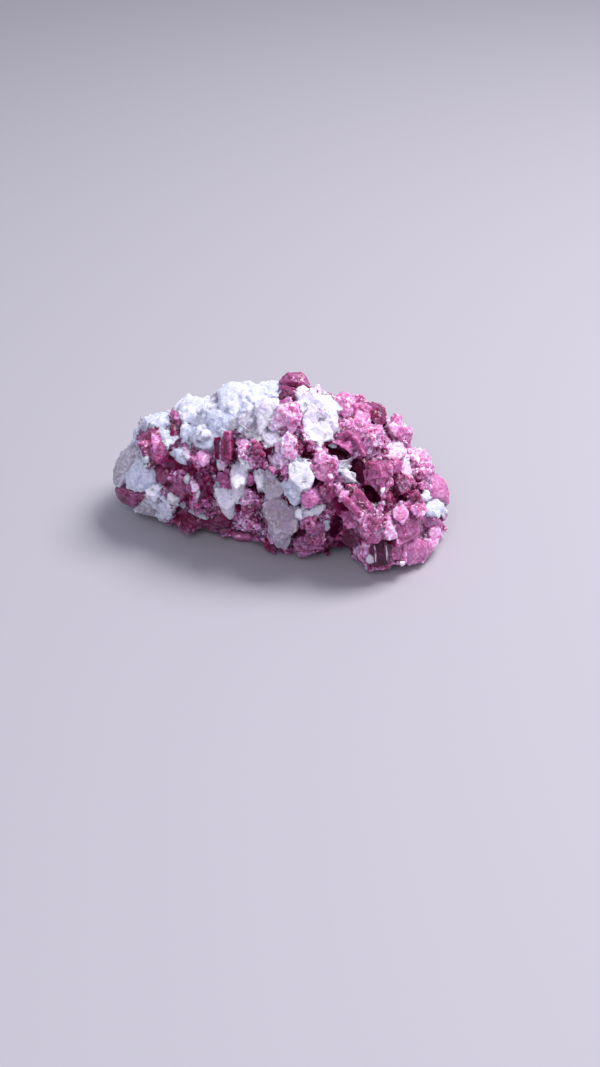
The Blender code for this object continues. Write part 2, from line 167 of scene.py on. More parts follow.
PATCHES = (
    # (across, up, half width, half height, turn, growth)
    # the left end
    (-11.9, -0.3, 1.39, 1.70, -20, "smoke"),
    (-10.9, -1.2, 1.23, 1.23, 0, "milk"),
    (-11.1, -0.8, 0.54, 0.69, 0, "snow"),
    (-10.0, -2.5, 0.54, 0.69, 0, "snow"),
    (-11.9, -3.2, 1.08, 0.39, -25, "wine"),
    (-10.3, -4.0, 1.00, 0.46, -20, "milk"),
    (-9.2, -4.2, 0.62, 0.69, 0, "milk"),
    (-10.0, 1.3, 1.00, 1.31, 15, "mauve"),
    (-9.8, 1.4, 0.46, 0.62, 0, "bright"),
    (-10.2, 3.0, 1.08, 0.77, 0, "milk"),
    (-8.8, 1.9, 0.46, 1.00, -15, "milk"),
    (-8.3, 2.6, 0.31, 1.31, 8, "mauve"),
    (-8.1, 2.2, 0.19, 0.93, 0, "wine"),
    # the white crest
    (-6.9, 3.7, 1.31, 1.00, 0, "snow"),
    (-7.3, 2.1, 0.69, 0.93, 0, "milk"),
    (-6.0, 3.1, 0.77, 1.08, 0, "snow"),
    (-3.2, 5.0, 1.54, 1.16, 0, "snow"),
    (-1.5, 5.0, 1.16, 0.93, 0, "milk"),
    (-3.9, 3.3, 2.31, 0.93, 0, "milk"),
    (-5.3, 4.2, 0.31, 0.69, 0, "olive"),
    (-2.8, 2.5, 1.00, 1.00, 0, "smoke"),
    (-5.6, 1.6, 1.23, 0.69, -8, "snow"),
    (-1.1, 4.1, 0.85, 0.93, 0, "snow"),
    (-0.9, 2.5, 0.69, 1.08, 0, "pale"),
    (-1.1, 1.3, 0.69, 0.46, -30, "snow"),
    # the pink band under the white
    (-2.5, 0.8, 1.16, 0.93, 0, "glitter"),
    (-2.2, 0.4, 0.62, 0.69, 0, "wine"),
    (-0.8, 0.5, 0.54, 0.62, 0, "wine"),
    (-4.0, 0.8, 0.54, 1.16, 5, "wine"),
    (-4.0, 1.9, 0.54, 0.31, 0, "rose"),
    (-5.9, 0.4, 0.77, 0.69, 0, "pale"),
    (-5.9, 0.0, 0.62, 0.31, 0, "bright"),
    (-7.5, 0.4, 0.77, 0.69, 0, "milk"),
    (-7.3, 0.6, 0.39, 0.39, 0, "bright"),
    (-7.7, -0.4, 1.31, 0.46, -22, "gap"),
    (-9.0, -1.2, 0.77, 0.85, 0, "mauve"),
    (-8.3, -1.2, 0.39, 0.46, 0, "glitter"),
    (-5.6, -0.7, 0.69, 0.54, 0, "mauve"),
    (-5.4, -0.6, 0.31, 0.31, 0, "wine"),
    (-4.6, -0.6, 0.77, 0.85, 0, "mauve"),
    (-4.3, -1.1, 0.46, 0.93, 0, "rose"),
    (-7.3, -1.5, 0.69, 0.54, 0, "rose"),
    (-6.0, -2.2, 0.62, 1.47, 8, "gap"),
    (-8.0, -2.4, 1.23, 0.85, 0, "mauve"),
    (-8.4, -2.8, 0.42, 0.35, 0, "snow"),
    (-6.6, -2.2, 0.39, 0.39, 0, "pale"),
    (-7.1, -3.2, 0.69, 0.39, -15, "gap"),
    (-6.1, -3.6, 1.16, 0.62, -30, "mauve"),
    (-8.6, -3.5, 0.46, 0.46, 0, "rose"),
    (-7.3, -4.3, 1.23, 0.62, 0, "gap"),
    (-6.3, -4.1, 1.70, 0.14, -24, "olive"),
    (-6.5, -5.3, 2.01, 0.54, -10, "wine"),
    (-4.3, -4.6, 1.16, 0.85, 0, "wine"),
    # the white ring and the grains in it
    (-3.2, -1.2, 0.69, 1.23, -10, "snow"),
    (-4.3, -2.7, 0.62, 1.08, -10, "snow"),
    (-3.8, -3.5, 0.62, 0.54, 0, "milk"),
    (-1.5, -1.7, 0.39, 0.93, 0, "milk"),
    (-4.6, -3.2, 0.46, 0.69, 0, "milk"),
    (-2.3, -1.5, 0.39, 0.39, 0, "rose"),
    (-2.7, -2.6, 0.77, 0.69, 0, "rose"),
    (-2.5, -3.7, 1.00, 0.54, 0, "wine"),
    (-3.0, -4.3, 0.93, 0.46, 0, "glitter"),
    (-2.0, -5.2, 1.70, 0.69, -5, "glitter"),
    (-2.9, -6.1, 1.54, 0.31, 0, "mauve"),
    # grey quartz
    (-0.8, -2.2, 0.69, 1.16, 0, "quartz"),
    (-0.1, -4.4, 1.47, 1.39, 0, "quartz"),
    (0.2, -3.1, 0.46, 0.69, 0, "wine"),
    (0.2, -6.6, 0.77, 0.69, 0, "milk"),
    (0.2, -6.6, 0.39, 0.39, 0, "snow"),
    (0.2, -7.4, 1.23, 0.39, 0, "mauve"),
    # the dome and the white plate
    (1.1, 5.9, 1.23, 0.69, 0, "bare"),
    (0.5, 4.9, 0.77, 0.62, 0, "wine"),
    (1.2, 5.0, 0.39, 0.39, 0, "glitter"),
    (2.7, 5.1, 0.62, 0.46, 0, "pale"),
    (2.1, 4.3, 1.00, 1.16, 0, "snow"),
    (3.2, 2.9, 1.16, 1.77, 18, "snow"),
    (3.1, 3.4, 0.39, 0.69, 10, "bright"),
    # the granular column between the plates
    (0.5, 2.5, 1.08, 1.70, 0, "pale"),
    (0.8, 2.6, 0.54, 0.93, 0, "bright"),
    (1.2, 1.5, 0.62, 0.62, 0, "glitter"),
    (0.4, 0.5, 0.93, 0.69, 0, "pale"),
    (-0.2, -0.2, 0.93, 0.77, 0, "bright"),
    (-0.2, -1.1, 0.69, 0.62, 0, "rose"),
    (2.0, 0.5, 0.69, 0.62, 0, "wine"),
    # below the plates
    (1.5, -1.4, 1.08, 1.31, -10, "snow"),
    (0.8, -2.8, 0.46, 0.77, 0, "milk"),
    (3.3, -0.2, 1.23, 0.77, -35, "rose"),
    (3.2, -1.2, 1.31, 0.93, -35, "rose"),
    (2.7, 0.2, 0.54, 0.39, -35, "pale"),
    (3.7, 0.9, 0.69, 0.31, 0, "wine"),
    (4.9, -1.2, 0.93, 0.39, -45, "snow"),
    (2.4, -3.1, 1.00, 0.85, 0, "rose"),
    (3.2, -2.5, 0.54, 0.62, 0, "mauve"),
    (2.3, -4.1, 1.00, 0.31, 5, "milk"),
    (1.3, -4.3, 0.39, 0.54, 0, "milk"),
    (3.5, -5.1, 0.39, 0.62, 0, "milk"),
    (2.1, -5.2, 1.00, 0.77, 0, "mauve"),
    (2.0, -6.7, 1.62, 0.93, 0, "mauve"),
    (3.9, -3.5, 0.54, 1.31, 20, "wine"),
    (3.7, -4.3, 0.39, 0.62, 0, "mauve"),
    # the cavity
    # the gap patches paint shade into the cavity
    (4.9, 0.9, 1.16, 0.93, -35, "mauve"),
    (4.2, 0.5, 1.08, 0.31, -24, "gap"),
    (5.9, -0.9, 0.54, 1.31, 28, "gap"),
    (6.9, -2.8, 0.85, 0.54, -40, "gap"),
    (4.3, -6.6, 1.08, 1.54, 0, "gap"),
    (4.5, -5.6, 1.08, 0.77, 0, "gap"),
    # the right shoulder
    (5.1, 4.0, 1.16, 1.08, 0, "bright"),
    (5.6, 3.1, 1.31, 0.69, -25, "bright"),
    (4.9, 4.7, 0.69, 0.39, 0, "pale"),
    (7.1, 3.7, 0.85, 0.69, -20, "mauve"),
    (8.7, 3.1, 0.77, 0.31, -38, "glitter"),
    (8.6, 2.3, 0.69, 0.62, 0, "bright"),
    (9.6, 2.0, 0.62, 0.85, 0, "rose"),
    (6.9, 1.6, 1.23, 1.16, 0, "glitter"),
    (6.5, 0.8, 0.69, 0.69, 0, "glitter"),
    (8.9, 0.5, 0.93, 0.93, 0, "pale"),
    (8.9, 0.4, 0.46, 0.39, 0, "snow"),
    (10.5, 0.0, 1.08, 1.08, 0, "pale"),
    (10.6, -0.4, 0.54, 0.46, 0, "snow"),
    (7.3, -1.4, 0.85, 1.16, 0, "bare"),
    (8.6, -0.7, 0.69, 0.69, 0, "mauve"),
    (9.6, -0.9, 0.31, 0.85, 10, "snow"),
    (10.8, -1.4, 0.69, 0.54, 0, "pale"),
    (9.5, -2.2, 2.01, 0.69, 10, "rose"),
    (9.3, -2.9, 1.93, 0.62, 10, "wine"),
    # the right end
    (11.9, -2.3, 1.00, 1.23, 0, "bright"),
    # painted highlight: the white highlight on the right end's pink lumps is painted as snow
    (12.0, -4.1, 0.69, 0.54, 0, "snow"),
    (12.4, -5.2, 0.39, 0.77, 0, "rose"),
    (11.6, -5.6, 0.62, 0.69, 0, "pale"),
    (10.2, -5.4, 1.00, 1.08, 0, "mauve"),
    (10.0, -7.1, 1.31, 1.08, 0, "rose"),
    (11.2, -7.2, 0.69, 0.85, 0, "bright"),
    (9.6, -7.9, 0.39, 0.31, 0, "pale"),
    # the foot
    (5.8, -3.0, 0.77, 0.93, -45, "mauve"),
    (6.5, -3.2, 0.62, 0.85, -45, "mauve"),
    (6.9, -5.2, 1.31, 1.47, 0, "glitter"),
    (5.2, -4.7, 0.77, 0.69, 0, "rose"),
    (9.3, -4.4, 0.69, 0.69, 0, "pale"),
    (8.4, -5.6, 0.39, 0.77, -15, "snow"),
    (7.1, -4.2, 0.69, 0.46, 0, "pale"),
    (5.2, -6.3, 0.85, 0.85, 0, "wine"),
    (8.7, -7.1, 0.54, 1.08, 0, "mauve"),
    (7.2, -7.5, 1.39, 0.93, 0, "mauve"),
)

# the rule for the rest of the stone
WHITE_SIDE = np.array((-1.6 / 25.0, 0.4 / 12.4, 0.7 / 11.8))  # whiteness gained per millimetre of X, Y and Z
WHITE_LIMIT = 0.67  # a place that is whiter than this is albite
CLUMP, CLUMPING = 2.2, 0.75  # how large the clumps of the other mineral are, and how many there are
RAGGED = 0.9  # the border between the two is ragged by this much
WHITE_RULE = ("milk", "milk", "snow", "smoke")
PINK_RULE = ("rose", "rose", "mauve", "wine", "bright", "glitter")
print("growths:", len(GROWTHS), "on", len(PATCHES), "patches")

# %% [markdown]
# ## The named faces
# The eye finds a stone again by its larger flat faces, so these are named and set one by one. Each row is a
# face as it looks from the display side: what grows there, how far it stands out of the stone, how much it
# bulges, how far it leans to the right and upwards, and its outline. Later faces lie over earlier ones, and
# all of them lie over the patches.

# %% Faces
FACES = (
    # deep and gap faces sit in pits, slots and hollows: dark wine that is also painted shade
    # name, growth, how far it stands out, how much it bulges, lean, outline
    # the left end
    ("grey rim", "smoke", 0.2, 0.3, (-0.4, 0.2), (
        (-13.0, -1.9), (-13.0, -0.9), (-12.7, -0.1), (-12.2, 0.7), (-11.6, 1.2), (-11.1, 1.3),
        (-10.9, 0.6), (-11.4, 0.1), (-11.9, -0.4), (-12.0, -1.0), (-12.3, -1.7), (-12.6, -2.2)
    )),
    ("left lump", "mist", 0.2, 0.5, (-0.1, 0.1), (
        (-12.0, -1.1), (-11.6, -0.5), (-11.3, -0.1), (-10.9, 0), (-10.3, -0.2), (-9.9, -0.4),
        (-9.6, -1.0), (-9.7, -1.7), (-10.2, -2.2), (-10.8, -2.5), (-11.4, -2.5), (-12.0, -2.2)
    )),
    ("left lump's bright edge", "plate", 0.45, 0.1, (0, 0.6), (
        (-11.5, -1.4), (-11.4, -0.8), (-11.2, -0.2), (-10.9, -0.3), (-10.8, -0.9), (-11.0, -1.5)
    )),
    ("left corner", "plate", 0.3, 0.15, (0, 0.1), (
        (-10.6, -2.8), (-10.3, -2.3), (-10.0, -2.0), (-9.6, -1.9), (-9.4, -2.3), (-9.6, -2.9),
        (-9.8, -3.3), (-10.2, -3.1)
    )),
    ("low band", "mulberry", 0.15, 0.2, (-0.2, -0.4), (
        (-12.9, -2.3), (-12.4, -2.2), (-11.9, -2.6), (-11.3, -2.9), (-10.7, -3.0), (-10.9, -3.6),
        (-11.6, -3.7), (-12.3, -3.4), (-12.7, -2.9)
    )),
    ("low pale lump", "smoke", 0.15, 0.2, (0, -0.3), (
        (-11.3, -3.8), (-10.9, -3.2), (-10.2, -3.2), (-9.6, -3.5), (-9.6, -4.1), (-9.7, -4.5),
        (-10.3, -4.4), (-10.9, -4.2)
    )),
    ("low lilac lump", "mist", 0.15, 0.2, (0, -0.3), (
        (-9.5, -3.5), (-8.9, -3.2), (-8.6, -3.8), (-8.5, -4.3), (-8.8, -4.6), (-9.3, -4.6)
    )),
    ("left pink lump", "mulberry", 0.2, 0.3, (-0.2, 0.1), (
        (-11.0, 0.8), (-10.9, 1.7), (-10.4, 2.2), (-10.0, 2.4), (-9.5, 2.2), (-9.2, 1.5), (-9.0, 0.8),
        (-9.3, 0.2), (-9.6, -0.2), (-10.2, 0.2), (-10.7, 0.4)
    )),
    ("left pink lump's pale face", "rosy", 0.4, 0.1, (0.1, 0.2), (
        (-10.0, 2.1), (-9.6, 1.9), (-9.3, 1.4), (-9.4, 0.6), (-9.8, 0.6), (-10.0, 1.3)
    )),
    ("left shoulder", "mist", 0.2, 0.25, (-0.1, 0.4), (
        (-10.5, 3.2), (-10.0, 3.5), (-9.4, 3.6), (-8.9, 3.6), (-8.6, 2.9), (-8.6, 1.7), (-8.7, 0.9),
        (-9.0, 1.2), (-9.3, 1.9), (-9.7, 2.4), (-10.3, 2.7)
    )),
    ("moss corner", "olive", 0.2, 0.1, (-0.3, 0.3), (
        (-11.0, 2.6), (-10.8, 3.1), (-10.4, 3.3), (-10.3, 2.7), (-10.6, 2.2), (-11.0, 2.1)
    )),
    ("pink wedge", "dusty", 0.2, 0.1, (0, 0.2), (
        (-8.6, 3.6), (-8.2, 3.8), (-7.9, 3.5), (-7.8, 2.6), (-8.1, 2.4), (-8.4, 2.9)
    )),
    ("wedge's root", "maroon", 0.1, 0, (0.2, 0), (
        (-8.4, 2.8), (-8.0, 2.5), (-7.8, 2.5), (-7.8, 1.4), (-8.0, 0.8), (-8.4, 1.1), (-8.6, 1.7)
    )),
    ("left pit", "deep", 0, 0, (0, -0.4), (
        (-9.6, -0.1), (-8.9, -0.2), (-8.4, -0.1), (-7.8, -0.4), (-7.0, -0.7), (-7.2, -1.0), (-7.6, -1.2),
        (-8.3, -0.9), (-9.0, -0.8)
    )),
    ("pink and white lump", "milk", 0.2, 0.2, (0, 0.1), (
        (-8.3, 0.7), (-7.9, 0.8), (-7.3, 0.3), (-7.0, 0.2), (-7.0, -0.4), (-7.6, -0.4), (-8.1, -0.2),
        (-8.3, 0.2)
    )),
    ("pink and white lump's top", "petal", 0.3, 0.15, (0, 0.3), (
        (-7.9, 0.8), (-7.4, 0.9), (-7.0, 0.7), (-7.0, 0.2), (-7.4, 0), (-7.8, 0.3)
    )),
    ("left mauve lump", "mulberry", 0.15, 0.2, (-0.1, 0), (
        (-9.8, -0.6), (-9.3, -0.4), (-8.7, -0.8), (-8.7, -1.5), (-9.1, -2.0), (-9.6, -1.8)
    )),
    ("mirror's lump", "mulberry", 0.2, 0.25, (0, 0.1), (
        (-8.8, -2.3), (-8.4, -1.9), (-7.7, -1.7), (-7.2, -2.0), (-6.9, -2.5), (-7.3, -3.0), (-7.8, -3.2),
        (-8.2, -2.8), (-8.7, -2.7)
    )),
    # painted highlight in part: a pink grain's glint is given the white plate's colour; it also leans to the
    # light
    ("mirror", "plate", 0.55, 0, (0.4, 1.0), (
        (-8.8, -2.6), (-8.4, -2.5), (-8.0, -2.6), (-7.9, -3.0), (-8.3, -3.2), (-8.7, -3.0)
    )),
    ("small bright grain", "plate", 0.4, 0.05, (0.3, 0.8), (
        (-7.6, -1.3), (-7.3, -1.2), (-7.1, -1.5), (-7.2, -1.7), (-7.4, -1.6)
    )),
    ("lilac grain", "petal", 0.3, 0.1, (0.1, 0.3), (
        (-6.9, -1.9), (-6.6, -1.9), (-6.4, -2.2), (-6.6, -2.5), (-6.9, -2.5)
    )),
    ("low pit", "deep", 0, 0, (0, -0.3), (
        (-7.8, -3.1), (-6.9, -2.7), (-6.6, -3.2), (-6.7, -3.8), (-7.3, -3.5)
    )),
    # the white crest
    ("crest's left head", "snow", 0.2, 0.3, (-0.1, 0.4), (
        (-7.9, 4.2), (-7.5, 4.6), (-6.9, 4.7), (-6.2, 4.7), (-5.6, 4.6), (-5.6, 3.9), (-5.8, 3.2),
        (-6.4, 2.6), (-7.1, 2.9), (-7.7, 3.2)
    )),
    ("crest's left shade", "mist", 0.1, 0.2, (0, 0), (
        (-7.7, 2.6), (-7.3, 2.8), (-6.8, 2.5), (-6.8, 1.9), (-7.0, 1.3), (-7.5, 1.2), (-7.8, 1.9)
    )),
    ("crest's left foot", "milk", 0.25, 0.15, (0, 0.1), (
        (-6.8, 2.5), (-6.2, 2.2), (-5.6, 2.1), (-5.0, 2.1), (-4.9, 1.5), (-5.0, 1.1), (-5.5, 0.8),
        (-6.0, 0.8), (-6.5, 0.9), (-6.8, 1.2), (-6.9, 1.9)
    )),
    ("moss patch", "olive", 0.1, 0.05, (0, 0.2), (
        (-5.5, 4.8), (-5.2, 5.0), (-4.9, 4.6), (-4.9, 4.0), (-5.2, 3.8), (-5.5, 4.2)
    )),
    ("crest's middle head", "snow", 0.25, 0.35, (0, 0.4), (
        (-4.9, 5.2), (-4.5, 5.6), (-3.9, 5.9), (-3.2, 5.9), (-2.6, 5.6), (-2.5, 5.1), (-2.7, 4.4),
        (-3.0, 3.9), (-3.5, 3.5), (-4.2, 3.5), (-4.8, 3.9)
    )),
    ("crest's middle face", "mist", 0.15, 0.2, (0, 0.1), (
        (-5.7, 3.7), (-4.9, 3.8), (-4.1, 3.5), (-3.4, 3.3), (-3.2, 2.6), (-3.8, 2.2), (-4.6, 2.0),
        (-5.4, 2.2), (-5.8, 2.9)
    )),
    ("grey window", "smoke", 0.1, 0.1, (0.1, 0), (
        (-3.9, 3.1), (-3.2, 3.4), (-2.5, 3.7), (-2.0, 3.6), (-1.9, 2.9), (-1.9, 2.0), (-2.1, 1.6),
        (-2.7, 1.5), (-3.4, 1.8), (-3.9, 2.2)
    )),
    ("crest's right head", "milk", 0.2, 0.25, (0.1, 0.4), (
        (-2.5, 5.3), (-1.9, 5.7), (-1.2, 5.6), (-0.9, 5.1), (-1.1, 4.5), (-1.7, 4.2), (-2.3, 4.4),
        (-2.6, 4.8)
    )),
    ("saddle", "mist", 0.15, 0.2, (0.2, 0.4), (
        (-1.2, 5.6), (-0.8, 5.9), (-0.2, 5.9), (0, 5.3), (-0.2, 4.7), (-0.7, 4.6), (-1.1, 4.9)
    )),
    ("white pillar", "plate", 0.35, 0.15, (0, 0.2), (
        (-1.8, 3.8), (-1.4, 4.3), (-0.8, 4.6), (-0.2, 4.3), (-0.1, 3.9), (-0.6, 3.5), (-1.1, 3.2),
        (-1.3, 2.6), (-1.5, 1.9), (-1.8, 1.7), (-1.9, 2.9)
    )),
    ("white pillar's foot", "plate", 0.35, 0.15, (0, 0.1), (
        (-1.5, 2.1), (-0.9, 2.0), (-0.2, 2.1), (0, 1.5), (-0.3, 1.0), (-0.8, 0.9), (-1.2, 1.2),
        (-1.5, 1.6)
    )),
    ("sugar face", "petal", 0.3, 0.05, (0, 0.1), (
        (-1.2, 3.2), (-0.5, 3.5), (0.1, 3.9), (0.2, 2.9), (-0.1, 2.2), (-0.8, 2.1), (-1.2, 2.4)
    )),
    # the granular column
    ("column's top", "pale", 0.2, 0.1, (0, 0.1), (
        (0.2, 4.1), (0.7, 4.3), (1.2, 4.2), (1.5, 3.6), (1.6, 2.9), (1.2, 3.1), (0.6, 3.2), (0.2, 3.5)
    )),
    ("column's heart", "candy", 0.25, 0.05, (0, 0), (
        (0.5, 3.1), (1.0, 3.0), (1.3, 2.5), (1.1, 2.0), (0.6, 1.9), (0.4, 2.5)
    )),
    ("column's right edge", "mulberry", 0.2, 0, (0.3, 0), (
        (1.3, 3.9), (1.5, 3.5), (1.7, 2.8), (1.8, 2.2), (1.5, 2.1), (1.4, 2.9)
    )),
    ("column's foot", "pale", 0.25, 0.1, (0, 0), (
        (0.1, 1.4), (0.6, 1.7), (1.2, 1.3), (1.3, 0.6), (1.2, -0.1), (0.6, -0.2), (0.2, 0.2), (-0.1, 0.8)
    )),
    ("column's root", "maroon", 0.1, 0, (0, -0.2), (
        (1.0, 1.3), (1.4, 1.4), (1.7, 0.9), (1.4, 0.5), (1.1, 0.7)
    )),
    ("sugar lump", "pale", 0.2, 0.2, (0, 0), (
        (-1.1, 0.1), (-0.6, 0.4), (0, 0.5), (0.4, 0), (0.2, -0.6), (-0.4, -0.8), (-0.9, -0.5)
    )),
    ("dark crack", "deep", 0.05, 0, (0, -0.2), (
        (-0.8, 0.8), (-0.5, 0.9), (-0.4, 0.5), (-0.8, 0.2), (-1.2, -0.2), (-1.3, 0), (-1.0, 0.5)
    )),
    # the dome and the white plate
    ("dome", "bare", 0.15, 0.35, (0, 0.3), (
        (-0.1, 5.9), (0.1, 6.3), (0.5, 6.6), (1.1, 6.6), (1.6, 6.6), (2.0, 6.2), (2.2, 5.7), (2.4, 5.4),
        (2.0, 5.3), (1.6, 5.6), (1.3, 5.5), (0.8, 5.6), (0.2, 5.6)
    )),
    ("dome's foot", "maroon", 0.15, 0.1, (-0.2, -0.1), (
        (-0.2, 5.6), (0.3, 5.6), (0.8, 5.5), (1.2, 5.4), (1.5, 5.2), (1.2, 4.8), (0.8, 4.6), (0.5, 4.2),
        (0.1, 4.2), (-0.2, 4.6), (-0.2, 5.1)
    )),
    ("plate's head", "plate", 0.35, 0.2, (0, 0.3), (
        (1.2, 5.3), (1.7, 5.6), (2.2, 5.3), (2.8, 5.0), (2.9, 4.6), (2.5, 4.5), (1.9, 4.5), (1.3, 4.6),
        (1.1, 4.9)
    )),
    ("plate's pink tip", "petal", 0.35, 0.15, (0.1, 0.4), (
        (2.4, 5.4), (2.9, 5.6), (3.2, 5.2), (3.1, 4.8), (2.6, 4.8)
    )),
    ("plate", "plate", 0.35, 0, (-0.1, 0.1), (
        (1.3, 4.4), (1.8, 4.6), (2.4, 4.6), (3.1, 4.6), (3.5, 3.9), (3.7, 3.0), (3.9, 2.2), (4.0, 1.5),
        (3.7, 1.4), (3.2, 1.2), (2.7, 1.1), (2.3, 1.5), (1.9, 2.0), (1.7, 2.6), (1.5, 3.6)
    )),
    ("plate's ridge", "plate", 0.45, 0.05, (0.3, 0.2), (
        (3.2, 4.9), (3.8, 4.8), (4.2, 4.3), (4.3, 3.7), (4.5, 3.0), (4.2, 2.5), (3.9, 2.4), (3.7, 3.1),
        (3.5, 3.9)
    )),
    ("plate's pink stain", "candy", 0.45, 0, (-0.1, 0.1), (
        (2.9, 3.9), (3.2, 3.8), (3.5, 3.2), (3.3, 2.7), (2.9, 2.6), (2.8, 3.2)
    )),
    # the right shoulder
    ("shoulder's pink crystal", "rosy", 0.2, 0.1, (0, 0.2), (
        (4.2, 4.7), (4.6, 5.0), (5.2, 5.0), (5.6, 4.6), (6.0, 4.2), (5.9, 3.5), (5.7, 2.9), (5.2, 2.8),
        (4.7, 3.2), (4.3, 3.8)
    )),
    ("shoulder's second face", "rosy", 0.1, 0.1, (0.1, 0.2), (
        (5.9, 4.1), (6.3, 3.9), (6.8, 3.9), (6.9, 3.2), (6.9, 2.6), (6.4, 2.2), (5.8, 2.3), (5.6, 2.9),
        (5.8, 3.5)
    )),
    ("shoulder's dusty lump", "maroon", 0.2, 0.3, (0.1, 0.4), (
        (6.3, 4.1), (6.7, 4.3), (7.3, 4.2), (7.7, 3.9), (8.1, 3.5), (8.2, 2.9), (7.9, 2.5), (7.3, 2.5),
        (6.9, 3.1), (6.8, 3.7)
    )),
    ("shoulder's frost", "petal", 0.45, 0.05, (0.3, 0.5), (
        (7.6, 3.4), (8.0, 3.3), (8.4, 2.9), (8.6, 2.5), (8.2, 2.5), (7.7, 2.9)
    )),
    ("shoulder's pink lump", "candy", 0.2, 0.3, (0.2, 0.2), (
        (8.2, 2.5), (8.6, 2.8), (9.1, 2.5), (9.0, 1.9), (8.8, 1.5), (8.3, 1.9)
    )),
    ("shoulder's far lump", "rosy", 0.2, 0.3, (0.3, 0.2), (
        (9.1, 2.5), (9.6, 2.5), (10.0, 2.3), (10.1, 1.7), (10.0, 1.0), (9.6, 0.8), (9.1, 1.2), (8.9, 1.7)
    )),
    ("frosted field", "bright", 0.15, 0.1, (0, 0), (
        (5.4, 2.2), (6.3, 2.2), (7.4, 2.3), (7.9, 1.9), (7.9, 1.0), (7.5, 0.2), (6.9, -0.2), (6.3, -0.3),
        (5.9, 0.5), (5.6, 1.2)
    )),
    ("frost ring", "pale", 0.35, 0, (0.2, 0.4), (
        (6.9, 2.0), (7.2, 2.1), (7.3, 1.8), (7.2, 1.5), (6.9, 1.5)
    )),
    ("frost grain 1", "pale", 0.3, 0, (0.2, 0.4), ((7.0, 1.3), (7.5, 1.2), (7.3, 0.9), (7.0, 1.0))),
    ("frost grain 2", "pale", 0.3, 0, (0.2, 0.4), ((6.3, 1.2), (6.7, 1.2), (6.6, 0.9), (6.4, 1.0))),
    ("frost grain 3", "pale", 0.3, 0, (0.2, 0.4), ((5.8, 0.8), (6.0, 0.7), (6.1, 0.2), (5.9, 0.3))),
    ("frost grain 4", "pale", 0.3, 0, (0.2, 0.4), ((6.8, 0.5), (7.1, 0.5), (6.9, 0.2), (6.7, 0.3))),
    ("frost grain 5", "pale", 0.3, 0, (0.2, 0.4), ((7.7, 0.3), (7.9, 0.2), (7.8, -0.2), (7.6, 0))),
    ("white cap", "petal", 0.35, 0.2, (0.2, 0.2), (
        (8.3, 0.5), (8.8, 0.9), (9.4, 0.8), (9.6, 0.4), (9.2, -0.1), (8.6, -0.1)
    )),
    ("pale comb", "candy", 0.2, 0.1, (0.3, 0.2), (
        (9.7, 0.7), (10.3, 0.8), (11.0, 0.7), (11.4, 0.2), (11.6, -0.5), (11.2, -0.9), (10.6, -0.7),
        (10.0, -0.2)
    )),
    ("comb's frost", "petal", 0.4, 0.05, (0.3, 0.3), (
        (10.0, 0.2), (10.5, 0.3), (10.7, -0.2), (10.6, -0.5), (10.3, -0.2)
    )),
    ("dusty corner", "dusty", 0.25, 0.1, (0.1, 0), (
        (8.5, -0.5), (8.9, -0.1), (9.3, -0.3), (9.5, -0.8), (9.2, -1.3), (8.7, -1.2), (8.3, -0.8)
    )),
    ("white strip", "petal", 0.25, 0, (0.3, 0.1), (
        (9.4, -0.4), (9.9, -0.2), (10.0, -0.8), (9.9, -1.5), (9.5, -1.5), (9.3, -1.2), (9.5, -0.8)
    )),
    # the cleft
    ("face over the cleft", "dusty", 0.15, 0, (0, 0.05), (
        (4.0, 1.4), (4.6, 1.9), (5.2, 2.1), (5.8, 1.5), (6.1, 0.8), (6.5, 0.1), (6.0, -0.1), (5.2, 0.2),
        (4.6, 0.5), (3.9, 0.8)
    )),
    ("cleft's slot", "deep", 0, 0, (0, -0.5), (
        (3.3, 0.9), (4.0, 0.8), (4.6, 0.5), (5.2, 0.1), (5.2, -0.5), (4.7, -0.5), (4.1, -0.1), (3.5, 0.4)
    )),
    ("cleft's wall", "maroon", 0, 0, (0.3, 0), (
        (5.1, 0.2), (5.9, -0.1), (6.6, 0), (7.0, -0.7), (7.2, -1.7), (7.0, -2.5), (6.3, -2.4),
        (5.8, -2.0), (5.4, -1.1)
    )),
    ("cleft's pit", "deep", 0, 0, (0.2, -0.2), (
        (6.2, -2.2), (6.7, -2.3), (7.3, -2.5), (7.6, -2.9), (7.4, -3.5), (6.9, -3.5), (6.6, -3.0)
    )),
    ("wide face", "dusty", 0.3, 0, (0.1, 0), (
        (7.3, -1.3), (7.5, -0.8), (7.9, -0.5), (8.1, -1.5), (7.9, -2.4), (7.6, -2.3), (7.3, -2.0),
        (7.5, -1.7)
    )),
    ("wide face's wing", "dusty", 0.3, 0, (0.3, 0.1), (
        (7.6, -0.5), (8.2, -0.6), (8.5, -1.0), (8.7, -1.4), (8.3, -1.5), (7.8, -1.5)
    )),
    ("sliver", "plate", 0.2, 0, (-0.1, 0.2), (
        (4.3, -0.8), (4.7, -0.6), (5.1, -0.9), (5.4, -1.3), (5.7, -1.9), (5.3, -1.6), (4.9, -1.4),
        (4.6, -1.1)
    )),
    ("upper cross prism", "mulberry", 0.2, 0.1, (0.1, -0.2), (
        (5.2, -3.2), (5.6, -2.5), (6.1, -2.4), (6.6, -3.1), (6.9, -3.7), (6.5, -4.0), (6.0, -3.9)
    )),
    ("cross prism's tip", "dusty", 0.35, 0.05, (0, 0.3), (
        (5.4, -2.8), (5.8, -2.5), (5.9, -2.9), (5.6, -3.2), (5.3, -3.2)
    )),
    ("lower cross prism", "mulberry", 0.35, 0.05, (0, -0.1), (
        (4.6, -3.2), (5.0, -3.0), (5.4, -3.3), (5.9, -3.9), (6.2, -4.3), (5.9, -4.7), (5.2, -4.0)
    )),
    # the foot
    ("red face", "dusty", 0.2, 0, (-0.1, 0), (
        (4.5, -4.2), (4.9, -4.1), (5.3, -4.1), (5.7, -4.6), (5.6, -4.9), (5.9, -5.2), (5.5, -5.5),
        (5.0, -5.2), (4.6, -4.7)
    )),
    ("foot's chunk", "mauve", 0.2, 0.2, (0, 0.1), (
